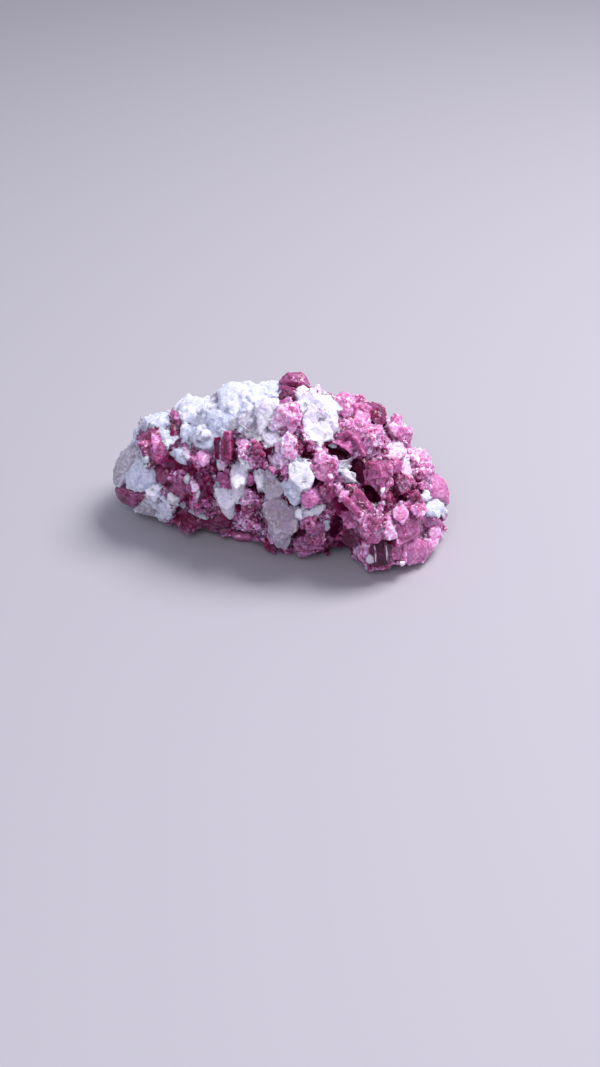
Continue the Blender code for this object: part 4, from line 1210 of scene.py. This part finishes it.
crust_rng = random.Random(CRUST_SEED)
crust = spaced_crust(crust_rng)
for point, outward, name, size in crust:
    growth = GROWTHS[name]
    sort = crust_rng.choice((growth.shape, growth.shape, "block", "prism"))
    at_edge = sticks_out(point, size * EDGE_REACH)
    if at_edge:
        size *= EDGE_SIZE
    axes = [size * crust_rng.uniform(*STRETCH) / 2 for _ in range(3)]
    spin = Matrix.Rotation(crust_rng.uniform(0, math.tau), 4, "Y")
    sway = Matrix.Rotation(crust_rng.gauss(0, SWAY), 4, "X")
    turn = outward.to_track_quat("Y", "Z").to_matrix().to_4x4()
    height = size * crust_rng.uniform(*PROUD)
    if at_edge:
        height *= EDGE_HEIGHT
    sunk = point - outward * (axes[1] - height)
    sunk.z = max(sunk.z, max(axes))  # clear of the ground
    matrix = Matrix.Translation(sunk) @ turn @ sway @ spin @ Matrix.Diagonal((*axes, 1.0))
    heap.add(crust_rng.choice(SHAPES[sort]), matrix, new_marks(growth, crust_rng))
print("fine crystals:", len(crust))

# %% [markdown]
# ## Melt the heap into one skin
# The heap has tens of thousands of faces that cut through each other. Blender's voxel remesh fills the whole
# heap with a fine grid and wraps one closed surface round it. A Boolean union would do too, and keep edges
# razor sharp, but real edges of small grains are a little rounded and chipped, and the grid gives that free.

# %% One skin
GRID = 0.08  # the spacing of the grid, and so the finest detail
skin_mesh = bpy.data.meshes.new("skin")
heap_corners, heap_triangles, heap_marks = heap.all_arrays()
heap_corners = inside_box(heap_corners)
skin_mesh.from_pydata(heap_corners.tolist(), [], heap_triangles.tolist())
skin = bpy.data.objects.new("skin", skin_mesh)
bpy.context.scene.collection.objects.link(skin)


def apply_modifier(target, kind, **settings):
    """Puts one modifier on an object and keeps its result as the object's mesh."""
    modifier = target.modifiers.new(kind.lower(), kind)
    for name, value in settings.items():
        setattr(modifier, name, value)
    graph = bpy.context.evaluated_depsgraph_get()
    target.data = bpy.data.meshes.new_from_object(target.evaluated_get(graph))
    target.modifiers.clear()


apply_modifier(skin, "REMESH", mode="VOXEL", voxel_size=GRID, adaptivity=0.0)
print("skin:", len(skin.data.vertices), "corners from", len(heap_triangles), "heap triangles")


# %% What each corner is made of
def arrays(mesh):
    """Places and outward directions of a mesh's corners."""
    places = np.empty(len(mesh.vertices) * 3)
    normals = np.empty(len(mesh.vertices) * 3)
    mesh.vertices.foreach_get("co", places)
    mesh.vertices.foreach_get("normal", normals)
    return places.reshape(-1, 3), normals.reshape(-1, 3)


heap_tree = BVHTree.FromPolygons(heap_corners.tolist(), heap_triangles.tolist())


def marks_of(places):
    """Mineral, shade and brokenness of the heap triangle next to each place."""
    return heap_marks[[heap_tree.find_nearest(place)[2] for place in places.tolist()]]


# %% [markdown]
# ## Chip it
# No natural face is one mirror. It is stepped where flakes came off, and pitted. A cell pattern gives that:
# space is divided into cells, each cell has its own small tilt and height, and the skin moves along its
# outward direction by the height of the cell it is in. Coarse cells make steps and fine ones make glints.

# %% Broken faces
TABLE = 64  # the cells' random numbers repeat after this many cells
CHIPS = (
    # cell's width, then its slope and step as shares of that width
    (0.80, 0.18, 0.05),
    (0.36, 0.32, 0.07),
    (0.18, 0.32, 0.06),
)


def cell_heights(places, cell, slope, step, seed):
    """Height of a stepped, tilted cell pattern at each place."""
    table = np.random.default_rng(seed).random((TABLE, TABLE, TABLE, 7)).astype(np.float32)
    scaled = (places / cell).astype(np.float32)
    corner = np.floor(scaled).astype(int)
    nearest = np.full(len(places), np.inf, np.float32)
    height = np.zeros(len(places), np.float32)
    for offset in itertools.product((-1, 0, 1), repeat=3):
        cells = corner + offset
        numbers = table[cells[:, 0] % TABLE, cells[:, 1] % TABLE, cells[:, 2] % TABLE]
        away = scaled - cells - numbers[:, :3]
        distance = (away**2).sum(1)
        closer = distance < nearest
        tilted = ((numbers[:, 3:6] - 0.5) * 2 * slope * away).sum(1) + (numbers[:, 6] - 0.5) * 2 * step
        nearest[closer] = distance[closer]
        height[closer] = tilted[closer]
    return height * cell


places, outward = arrays(skin.data)
broken = marks_of(places)[:, 2]
chip_heights = sum(cell_heights(places, *chip, seed) for seed, chip in enumerate(CHIPS))
places = inside_box(places + outward * (chip_heights * broken)[:, None])
skin.data.vertices.foreach_set("co", places.ravel())
skin.data.update()
print("chips: at most", round(float(abs(chip_heights).max()), 3), "mm high")

# %% [markdown]
# ## Thin it out
# The grid has corners everywhere, also on flat faces that don't need them. Decimation takes away those that
# change the shape least, until the number is one that any program can handle.

# %% Fewer triangles
SKIN_TRIANGLES = 190000
corner_count = len(skin.data.polygons) * 2
apply_modifier(skin, "DECIMATE", ratio=SKIN_TRIANGLES / corner_count)
apply_modifier(skin, "TRIANGULATE")
print("skin:", len(skin.data.polygons), "triangles")

# %% [markdown]
# Thinning can leave two triangles back to back, one that hangs on a single edge, or a loose crumb. None of
# them encloses anything, so they come off before the skin is used.

# %% Trim the strays
CRUMB = 40  # a loose bit with fewer triangles than this is a crumb


def trim_strays(mesh):
    """Takes doubled triangles, triangles with a free edge and loose crumbs off a closed mesh."""
    bm = bmesh.new()
    bm.from_mesh(mesh)
    by_corners = {}
    for face in bm.faces:
        by_corners.setdefault(frozenset(face.verts), []).append(face)
    doubled = [face for faces in by_corners.values() if len(faces) > 1 for face in faces]
    bmesh.ops.delete(bm, geom=doubled, context="FACES")
    hanging = [face for face in bm.faces if any(edge.is_boundary for edge in face.edges)]
    bmesh.ops.delete(bm, geom=hanging, context="FACES")
    crumbs = []
    unseen = set(bm.faces)
    while unseen:
        bit = [unseen.pop()]
        for face in bit:
            near = {other for edge in face.edges for other in edge.link_faces} & unseen
            unseen -= near
            bit.extend(near)
        if len(bit) < CRUMB:
            crumbs += bit
    bmesh.ops.delete(bm, geom=crumbs, context="FACES")
    print("strays:", len(doubled), "doubled,", len(hanging), "hanging,", len(crumbs), "in crumbs")
    print("skin:", len(bm.faces), "triangles, open edges:", sum(not edge.is_manifold for edge in bm.edges))
    bm.to_mesh(mesh)
    bm.free()


trim_strays(skin.data)

# %% [markdown]
# ## How open each place is
# Light reaches a ridge from all sides and a gap only from a few. Short rays from each corner of the skin
# count how many get away. A second measure tells sharp ridges from sharp grooves, by how far each corner
# stands out from its neighbours. Both are kept on the mesh, so they look the same from every side. The
# materials use them for painted shade in gaps and grooves and painted light on ridges.

# %% Openness
REACH = 1.4  # how long a ray is
RAYS = 10
LOWEST_RAY = 0.85  # the rays spread from straight up to this share of the way to the horizon
START = 0.03  # how far above the skin a ray begins


def openness_of(places, normals, triangles):
    """The share of short rays that leave each corner freely."""
    tree = BVHTree.FromPolygons(places.tolist(), triangles.tolist())
    rays = []
    for i in range(RAYS):
        z = 1 - (i + 0.5) / RAYS * LOWEST_RAY
        radius = math.sqrt(1 - z * z)
        rays.append(Vector((radius * math.cos(GOLDEN_ANGLE * i), radius * math.sin(GOLDEN_ANGLE * i), z)))
    shares = []
    for place, normal in zip(places.tolist(), normals.tolist()):
        outward = Vector(normal)
        turn = outward.to_track_quat("Z", "Y")
        start = Vector(place) + outward * START
        shares.append(sum(tree.ray_cast(start, turn @ ray, REACH)[0] is None for ray in rays) / RAYS)
    return np.array(shares)


places, outward = arrays(skin.data)
triangles = np.empty(len(skin.data.polygons) * 3, int)
skin.data.polygons.foreach_get("vertices", triangles)
triangles = triangles.reshape(-1, 3)
openness = openness_of(places, outward, triangles)
mineral, shade, broken = marks_of(places).T
print("openness: from", openness.min(), "to", openness.max(), "mean", round(openness.mean(), 2))


# %% Ridges and grooves
RIDGE_GAIN = 1.5


def edges_of(triangles):
    """The three edges of every triangle, as pairs of corners."""
    return triangles[:, [[0, 1], [1, 2], [2, 0]]].reshape(-1, 2)


def ridge_of(places, normals, triangles):
    """1 on a sharp ridge, -1 in a sharp groove: how far a corner stands out from its neighbours' middle."""
    start, end = edges_of(triangles).T
    count = np.bincount(start, minlength=len(places))
    middle = np.stack([np.bincount(start, places[end, axis], len(places)) for axis in range(3)], 1)
    length = np.linalg.norm(places[start] - places[end], axis=1)
    reach = np.bincount(start, length, len(places)) / count
    height = ((places - middle / count[:, None]) * normals).sum(1) / reach
    smooth = np.bincount(start, height[end], len(places)) / count
    return np.clip((height + smooth) * RIDGE_GAIN, -1, 1)


ridge = ridge_of(places, outward, triangles)
print("ridges: mean", round(float(ridge.mean()), 2), "spread", round(float(ridge.std()), 2))

# %% [markdown]
# ## Part the two minerals
# The skin is still one. The albite is lifted off as its own body: its outer faces are the skin's, its
# inner faces are the same ones a little deeper, and a rim joins them. The tourmaline keeps the whole skin,
# pressed in a little where albite covers it. Both bodies are closed, and they fit without a gap.

# %% Two bodies
ALBITE_DEPTH = 0.6
UNDER_ALBITE = 0.12  # how far the tourmaline is pressed in under the albite
SPECK = 3  # albite triangles around a corner, and a patch that never has more is a speck


def albite_faces():
    """Which triangles are albite, without specks and without patches that only touch in a corner."""
    chosen = mineral[triangles].sum(1) >= 2
    around = np.bincount(triangles[chosen].ravel(), minlength=len(places))
    chosen &= around[triangles].max(1) > SPECK
    while True:
        edges = np.sort(edges_of(triangles[chosen]), axis=1)
        unique, counts = np.unique(edges, axis=0, return_counts=True)
        rim = unique[counts == 1]
        crowded = np.nonzero(np.bincount(rim.ravel(), minlength=len(places)) > 2)[0]
        if len(crowded) == 0:
            return chosen
        chosen |= np.isin(triangles, crowded).any(1)  # grows the patches together there


white = albite_faces()
inner = places - outward * ALBITE_DEPTH
used, renumbered = np.unique(triangles[white], return_inverse=True)
shell = renumbered.reshape(-1, 3)
count = len(used)
shell_edges = [tuple(edge) for edge in edges_of(shell).tolist()]
seen_edges = set(shell_edges)
rim = [(b, a, a + count, b + count) for a, b in shell_edges if (b, a) not in seen_edges]
albite_corners = np.concatenate((places[used], inner[used]))
albite_all = shell.tolist() + (shell[:, ::-1] + count).tolist() + rim
covered = np.ones(len(places), bool)
covered[triangles[~white].ravel()] = False
tourmaline_corners = places - outward * (UNDER_ALBITE * covered)[:, None]
bpy.data.objects.remove(skin)
print("albite:", len(shell), "of", len(triangles), "triangles of the skin")

# %% [markdown]
# ## Minerals
# Both minerals are cloudy: light enters, scatters and comes out a little further on. That is subsurface
# scattering. Their colours come from the marks that the crystals carry and from patterns in space, so they
# need no painted picture and have no seams. The functions below each set up one kind of node and link it,
# so that the recipes after them stay readable.

# %% Shader helpers
def node(tree, kind, **values):
    """A shader node with its inputs set by name."""
    made = tree.nodes.new(kind)
    for name, value in values.items():
        name = name.replace("_", " ")
        if name in made.inputs:
            made.inputs[name].default_value = value
        else:
            setattr(made, name.replace(" ", "_"), value)
    return made


def ramp(tree, stops):
    """A colour ramp from (place, colour) stops."""
    made = tree.nodes.new("ShaderNodeValToRGB")
    elements = made.color_ramp.elements
    while len(elements) < len(stops):
        elements.new(1.0)
    for element, (place, colour) in zip(elements, stops):
        element.position = place
        element.color = (*colour, 1.0)
    return made


def math_node(tree, operation, *values):
    """A maths node, with sockets or numbers as its inputs."""
    made = tree.nodes.new("ShaderNodeMath")
    made.operation = operation
    for socket, value in zip(made.inputs, values):
        if isinstance(value, (int, float)):
            socket.default_value = value
        else:
            tree.links.new(value, socket)
    return made.outputs[0]


def vector_node(tree, operation, *values):
    """A vector node, with sockets or vectors as its inputs."""
    made = tree.nodes.new("ShaderNodeVectorMath")
    made.operation = operation
    sockets = (made.inputs[0], made.inputs["Scale"]) if operation == "SCALE" else made.inputs
    for socket, value in zip(sockets, values):
        if isinstance(value, (tuple, float)):
            socket.default_value = value
        else:
            tree.links.new(value, socket)
    return made.outputs[0]


# %% Helpers for colours and patterns
def clamped_ramp(tree, source, low, high):
    """0 below low, 1 above high, and a smooth step between."""
    step = node(tree, "ShaderNodeMapRange", interpolation_type="SMOOTHSTEP", From_Min=low, From_Max=high)
    tree.links.new(source, step.inputs["Value"])
    return step.outputs["Result"]


def mix_colours(tree, factor, first, second):
    """A colour between two, each a socket or a colour."""
    mix = tree.nodes.new("ShaderNodeMix")
    mix.data_type = "RGBA"
    tree.links.new(factor, mix.inputs["Factor"])
    for label, colour in (("A", first), ("B", second)):
        if isinstance(colour, tuple):
            mix.inputs[label].default_value = (*colour, 1.0)
        else:
            tree.links.new(colour, mix.inputs[label])
    return mix.outputs["Result"]


def cell_pattern(tree, place, scale):
    """A random colour for each cell of space, the cells being 1 / scale wide."""
    cells = node(tree, "ShaderNodeTexVoronoi", Scale=scale)
    tree.links.new(place, cells.inputs["Vector"])
    return cells.outputs["Color"]


def noise_pattern(tree, place, scale, detail):
    """Soft clouds between 0 and 1, the largest being 1 / scale wide."""
    clouds = node(tree, "ShaderNodeTexNoise", Scale=scale, Detail=detail)
    tree.links.new(place, clouds.inputs["Vector"])
    return clouds.outputs["Fac"]


def separated(tree, colour):
    """The red, green and blue parts of a colour, as sockets."""
    split = tree.nodes.new("ShaderNodeSeparateColor")
    tree.links.new(colour, split.inputs["Color"])
    return split.outputs


# %% [markdown]
# Tone is how pale a place is. It starts from the shade that each crystal carries and is clouded by noise.
# It is paler on ridges, partly from fine cracks that scatter the light and partly as painted edge light,
# and darker in grooves as painted shade. On broken stone it also changes at random from cell to cell, as
# painted light that stands in for the share of light that every small face sends back.

# %% Tone
CLOUDINESS = 0.30
PAINTED_RIDGE_LIGHT = 0.20
MIDDLE = 0.5  # a cell's random numbers lie between 0 and 1, around this
CELL_TONES = (0.5, 1.0)  # how much the coarse cells and the fine ones change the tone


def grain_tone(tree, marks, parts, clouds, facet_painted_light):
    """How pale each place is, from 0 to 1."""
    tone = math_node(tree, "MULTIPLY_ADD", clouds, CLOUDINESS, marks["shade"])
    tone = math_node(tree, "ADD", tone, -CLOUDINESS / 2)
    # ridges paler, partly as painted edge light, and grooves darker as painted shade
    tone = math_node(tree, "MULTIPLY_ADD", marks["ridge"], PAINTED_RIDGE_LIGHT, tone)
    # painted facet light: each cell's tone changes at random
    for part, share in zip(parts, CELL_TONES):
        change = math_node(tree, "SUBTRACT", part["Red"], MIDDLE)
        change = math_node(tree, "MULTIPLY", change, marks["broken"])
        tone = math_node(tree, "MULTIPLY_ADD", change, facet_painted_light * share, tone)
    return tone


# %% [markdown]
# A ramp turns tone into colour. Where the stone is broken, some cells are lilac: a painted reflection of
# the cool sky, as if a crack under them mirrored it. Pale crystals are flecked with frost and with painted
# glints. In the gaps between crystals the colour is darkened towards the gap colour, deep wine on
# tourmaline, which is painted shade; between pale crystals it is darkened less.

# %% Colour
PAINTED_SKY = (0.34, 0.27, 0.50)
SKY_CELLS, SKY_SHARE = (0.55, 0.80), 0.45  # coarse cells with the painted lilac sky reflection, and how much
FLECKS = (0.52, 0.68)  # how high the noise is where a fleck begins and where it is full
PAINTED_GLINTS = (0.93, 0.95)  # the same for the few fine cells painted pale all over as glints
PALE_SHADES, PALE_GAPS = (0.5, 1.0), 0.8  # the painted gap shade is weaker between pale crystals


def grain_colour(tree, marks, parts, flecks, tone, stops, frost_and_glint_colour, frost):
    """The colour of each tone, with painted sky reflection, frost and painted glints on broken stone."""
    coarse, fine = parts
    colours = ramp(tree, stops)
    tree.links.new(tone, colours.inputs["Fac"])
    # painted reflection: lilac cells stand for the cool sky mirrored in cracks
    sky_reflected = math_node(tree, "MULTIPLY", clamped_ramp(tree, coarse["Blue"], *SKY_CELLS), marks["broken"])
    sky_reflected = math_node(tree, "MULTIPLY", sky_reflected, SKY_SHARE)
    sky_reflected = mix_colours(tree, sky_reflected, colours.outputs["Color"], PAINTED_SKY)
    # painted glints: a few fine cells are painted pale all over
    painted_glint = clamped_ramp(tree, fine["Green"], *PAINTED_GLINTS)
    frosted = math_node(tree, "MAXIMUM", clamped_ramp(tree, flecks, *FLECKS), painted_glint)
    pale_and_broken = math_node(tree, "MULTIPLY", marks["broken"], marks["shade"])
    frosted = math_node(tree, "MULTIPLY", frosted, pale_and_broken)
    # frost sets the strength of both the frost flecks and the painted glints
    frosted = math_node(tree, "MULTIPLY", frosted, frost)
    return mix_colours(tree, frosted, sky_reflected, frost_and_glint_colour)


def with_painted_gap_shade(tree, marks, colour, painted_gap_shade):
    """The colour in open places, and painted shade in the gaps between darker crystals."""
    filled = math_node(tree, "MULTIPLY", clamped_ramp(tree, marks["shade"], *PALE_SHADES), PALE_GAPS)
    filled = math_node(tree, "MAXIMUM", marks["openness"], filled)
    return mix_colours(tree, filled, painted_gap_shade, colour)


# %% [markdown]
# Gloss is low in gaps and on the darkest faces, which have little to mirror. A cell pattern tilts the
# surface a little, cell by cell, and more where the stone is broken. That breaks a face's one reflection up
# into glints, without a single extra triangle.

# %% Gloss and glints
DULL_SHADES = (0.00, 0.30)  # the darkest faces lie in hollows, with little to reflect
GLOSS = (0.25, 0.28)  # more on broken stone, and this much on the smooth faces
LEAST_TILT = 0.15
CELL_TILTS = (1.0, 0.7)  # how much the coarse cells and the fine ones tilt the surface


def gloss_of(tree, marks):
    """How much each place reflects."""
    gloss = math_node(tree, "MULTIPLY", marks["openness"], clamped_ramp(tree, marks["shade"], *DULL_SHADES))
    return math_node(tree, "MULTIPLY", gloss, math_node(tree, "MULTIPLY_ADD", marks["broken"], *GLOSS))


def tilted_normal(tree, marks, cells, tilt):
    """The surface's direction, tilted a little from cell to cell."""
    normal = tree.nodes.new("ShaderNodeNewGeometry").outputs["Normal"]
    lean = math_node(tree, "MULTIPLY_ADD", marks["broken"], tilt, tilt * LEAST_TILT)
    for pattern, share in zip(cells, CELL_TILTS):
        centred = vector_node(tree, "SUBTRACT", pattern, (MIDDLE, MIDDLE, MIDDLE))
        leaning = vector_node(tree, "SCALE", vector_node(tree, "SCALE", centred, share), lean)
        normal = vector_node(tree, "ADD", leaning, normal)
    return vector_node(tree, "NORMALIZE", normal)


# %% [markdown]
# The material joins these recipes. Patterns are placed by the object's own coordinates, which are metres, so
# a scale of 2300 makes cells of less than half a millimetre.

# %% A mineral's material
CELL_SCALES = (2300.0, 5200.0)
CLOUD_SCALE, CLOUD_DETAIL = 1300.0, 4.0
FLECK_SCALE, FLECK_DETAIL = 5200.0, 2.0
REFRACTION = 1.62


def mineral_material(
    name, stops, painted_gap_shade, frost_and_glint_colour, frost, facet_painted_light, scatter, scatter_radius, depth, roughness, tilt
):
    """A cloudy, glossy mineral coloured by the marks on its corners."""
    material = bpy.data.materials.new(name)
    material.use_nodes = True
    tree = material.node_tree
    place = tree.nodes.new("ShaderNodeTexCoord").outputs["Object"]
    marks = {
        mark: node(tree, "ShaderNodeAttribute", attribute_name=mark).outputs["Fac"]
        for mark in ("shade", "openness", "broken", "ridge")
    }
    cells = [cell_pattern(tree, place, scale) for scale in CELL_SCALES]
    parts = [separated(tree, pattern) for pattern in cells]
    clouds = noise_pattern(tree, place, CLOUD_SCALE, CLOUD_DETAIL)
    flecks = noise_pattern(tree, place, FLECK_SCALE, FLECK_DETAIL)
    tone = grain_tone(tree, marks, parts, clouds, facet_painted_light)
    colour = grain_colour(tree, marks, parts, flecks, tone, stops, frost_and_glint_colour, frost)
    rough = node(tree, "ShaderNodeMapRange", To_Min=roughness[0], To_Max=roughness[1])
    tree.links.new(clouds, rough.inputs["Value"])
    shader = tree.nodes["Principled BSDF"]
    tree.links.new(with_painted_gap_shade(tree, marks, colour, painted_gap_shade), shader.inputs["Base Color"])
    tree.links.new(gloss_of(tree, marks), shader.inputs["Specular IOR Level"])
    tree.links.new(rough.outputs["Result"], shader.inputs["Roughness"])
    tree.links.new(tilted_normal(tree, marks, cells, tilt), shader.inputs["Normal"])
    shader.inputs["Subsurface Weight"].default_value = scatter
    shader.inputs["Subsurface Radius"].default_value = scatter_radius
    shader.inputs["Subsurface Scale"].default_value = depth
    shader.inputs["IOR"].default_value = REFRACTION
    print(name + ":", len(tree.nodes), "nodes")
    return material


# %% Two minerals
PINK_STOPS = (
    (0.00, (0.105, 0.003, 0.030)),
    (0.22, (0.180, 0.014, 0.074)),
    (0.48, (0.390, 0.084, 0.245)),
    (0.70, (0.660, 0.215, 0.480)),
    (0.86, (0.825, 0.450, 0.735)),
    (1.00, (0.920, 0.720, 0.930)),
)
WHITE_STOPS = (
    (0.00, (0.345, 0.262, 0.335)),
    (0.20, (0.455, 0.415, 0.485)),
    (0.50, (0.545, 0.575, 0.750)),
    (0.80, (0.700, 0.715, 0.870)),
    (1.00, (0.810, 0.730, 0.920)),
)
tourmaline_material = mineral_material(
    "pink_tourmaline",
    PINK_STOPS,
    painted_gap_shade=(0.080, 0.002, 0.024),
    frost_and_glint_colour=(0.920, 0.770, 0.930),
    frost=0.80,
    facet_painted_light=0.32,
    scatter=0.90,
    scatter_radius=(1.0, 0.30, 0.45),
    depth=0.0012,
    roughness=(0.06, 0.28),
    tilt=0.55,
)
albite_material = mineral_material(
    "white_albite",
    WHITE_STOPS,
    painted_gap_shade=(0.420, 0.350, 0.460),
    frost_and_glint_colour=(0.98, 0.98, 1.0),
    frost=0.45,
    facet_painted_light=0.25,
    scatter=0.8,
    scatter_radius=(1.0, 0.95, 1.0),
    depth=0.0006,
    roughness=(0.20, 0.50),
    tilt=0.30,
)

# %% [markdown]
# ## Set the bodies down
# A body is a mesh in metres that rides on the stone and has its mineral's material. It's shaded smooth, and
# only real creases stay sharp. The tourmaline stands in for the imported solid, which stays out of sight.

# %% Set the bodies down
CREASE = math.radians(15)  # an edge sharper than this stays sharp
CLOSED, OPEN = 0.10, 0.64  # at these shares of free rays, a place has all of the painted gap shade, or all of its own colour


def make_body(name, corners, faces, marks, material):
    """A closed mesh with its marks, turned into metres and riding on the stone's body."""
    mesh = bpy.data.meshes.new(name)
    mesh.from_pydata((corners * MM).tolist(), [], faces)
    for label, values in marks.items():
        mesh.attributes.new(label, "FLOAT", "POINT").data.foreach_set("value", values.astype(np.float32))
    mesh.materials.append(material)
    mesh.shade_smooth()
    mesh.set_sharp_from_angle(angle=CREASE)
    body = bpy.data.objects.new(name, mesh)
    bpy.context.scene.collection.objects.link(body)
    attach(body, "root")
    print(name + ":", len(mesh.polygons), "faces")
    return body


open_share = np.clip((openness - CLOSED) / (OPEN - CLOSED), 0, 1)
marks = {"shade": shade, "openness": open_share, "broken": broken, "ridge": ridge}
tourmaline = make_body(
    "tourmaline", tourmaline_corners, triangles.tolist(), marks, tourmaline_material
)
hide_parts("rough_tourmaline")
shell_marks = {label: np.tile(values[used], 2) for label, values in marks.items()}
make_body("albite", albite_corners, albite_all, shell_marks, albite_material)

# %% [markdown]
# ## The clear crystal
# One crystal is clear. It stands in its own hollow at the foot, as three small prisms side by side, and the
# dark hollow shows through it. Plain transmission makes that. Its refraction is a little lower than the
# mineral's own, or the mirrored floor would hide the depth. The white streaks on it are reflections, painted
# as thin white blades with the albite's material that run from it into the stone. They begin on the
# prisms' faces, which a search tree finds.

# %% Clear tourmaline
clear_material = bpy.data.materials.new("clear_tourmaline")
clear_material.use_nodes = True
clear_shader = clear_material.node_tree.nodes["Principled BSDF"]
clear_shader.inputs["Base Color"].default_value = (0.72, 0.24, 0.52, 1.0)
clear_shader.inputs["Transmission Weight"].default_value = 0.95
clear_shader.inputs["IOR"].default_value = 1.45
clear_shader.inputs["Roughness"].default_value = 0.05

# %% Set the clear crystal
CLEAR_PROUD = 0.50
CLEAR_PRISMS = (
    # lean, outline
    ((-0.9, 0.1), ((6.3, -7.1), (6.9, -6.6), (7.1, -7.4), (7.1, -8.2), (6.6, -8.3), (6.2, -7.8))),
    ((0.0, 0.2), ((6.9, -6.6), (7.9, -6.4), (8.2, -7.2), (8.1, -8.3), (7.1, -8.5), (7.0, -7.5))),
    ((0.9, 0.0), ((7.9, -6.4), (8.3, -6.8), (8.5, -7.5), (8.4, -8.1), (8.0, -8.4), (8.1, -7.3))),
)
clear_corners, clear_triangles = [], []
for number, (lean, outline) in enumerate(CLEAR_PRISMS, start=1):
    corners, prism = face_shape(outline, lean, CLEAR_PROUD, 0)
    corners = inside_box(corners)
    make_body(f"clear_crystal_{number}", corners, prism.tolist(), {}, clear_material)
    clear_triangles += (prism + len(clear_corners)).tolist()
    clear_corners += corners.tolist()
clear_tree = BVHTree.FromPolygons(clear_corners, clear_triangles)

# %% Blades in it
STREAK_PROUD, STREAK_DEPTH = 0.02, 2.0  # a blade begins at the clear face and runs back into the stone
# painted reflection: white blades stand for the streaks mirrored on the clear crystal
REFLECTION_STREAKS = (
    ((7.08, -6.80), (7.18, -6.80), (7.30, -7.56), (7.26, -8.10), (7.18, -8.02), (7.19, -7.48)),
    ((8.00, -6.80), (8.06, -6.80), (8.18, -7.48), (8.13, -8.05), (8.07, -7.95), (8.11, -7.48)),
    ((6.42, -7.70), (6.78, -7.42), (7.06, -7.70), (7.08, -8.12), (6.72, -8.22), (6.46, -8.02)),
)


def blade(outline):
    """A thin white blade, a painted reflection, from the clear crystal's face along the lines of sight."""
    points = []
    for corner in outline:
        sight = line_of_sight(*corner)
        distance = clear_tree.ray_cast(EYE, sight)[3] - STREAK_PROUD
        points += [EYE + sight * distance, EYE + sight * (distance + STREAK_DEPTH)]
    return hull(points)


for number, outline in enumerate(REFLECTION_STREAKS, start=1):
    corners, sides = blade(outline)
    corners = inside_box(corners)
    reflection_streak_marks = {label: np.ones(len(corners)) for label in ("shade", "openness")}
    make_body(f"streak_{number}", corners, sides.tolist(), reflection_streak_marks, albite_material)

# %% [markdown]
# ## Floor and light
# The stone lies on a plain pale floor. One large soft light stands behind it on the right, so that the
# shadow falls to the front and the left and the crest is bright. The sky fills the front, with a weak
# second light.

# %% The floor
FLOOR_HALF = 1.5  # metres from its middle to a side
floor = bpy.data.objects.new("floor", bpy.data.meshes.new("floor"))
floor_bm = bmesh.new()
bmesh.ops.create_grid(floor_bm, x_segments=1, y_segments=1, size=FLOOR_HALF)
floor_bm.to_mesh(floor.data)
floor_bm.free()
floor_material = bpy.data.materials.new("pale_floor")
floor_material.use_nodes = True
floor_shader = floor_material.node_tree.nodes["Principled BSDF"]
floor_shader.inputs["Base Color"].default_value = (0.40, 0.38, 0.44, 1.0)
floor_shader.inputs["Roughness"].default_value = 0.7
floor.data.materials.append(floor_material)
bpy.context.scene.collection.objects.link(floor)
print("floor:", [round(side, 1) for side in floor.dimensions], "m")

# %% Sky and lights
world = bpy.data.worlds.new("sky")
world.use_nodes = True
world.node_tree.nodes["Background"].inputs["Color"].default_value = (0.80, 0.86, 1.0, 1.0)
world.node_tree.nodes["Background"].inputs["Strength"].default_value = 0.40
bpy.context.scene.world = world


def soft_light(name, place, size, power, colour):
    """A square light that looks at the stone's middle. Its place and size are in millimetres."""
    lamp = bpy.data.lights.new(name, "AREA")
    lamp.shape = "SQUARE"
    lamp.size = size * MM
    lamp.energy = power
    lamp.color = colour
    light = bpy.data.objects.new(name, lamp)
    light.location = Vector(place) * MM
    light.rotation_mode = "QUATERNION"
    light.rotation_quaternion = (VIEW_CENTRE - Vector(place)).to_track_quat("-Z", "Y")
    bpy.context.scene.collection.objects.link(light)


soft_light("window", place=(95, 70, 210), size=120, power=0.72, colour=(1.0, 0.98, 0.97))
soft_light("front_fill", place=(20, -190, 170), size=110, power=0.24, colour=(0.95, 0.95, 1.0))
bpy.context.scene.view_settings.view_transform = "Standard"
print("lights:", [lamp.name for lamp in bpy.data.lights])
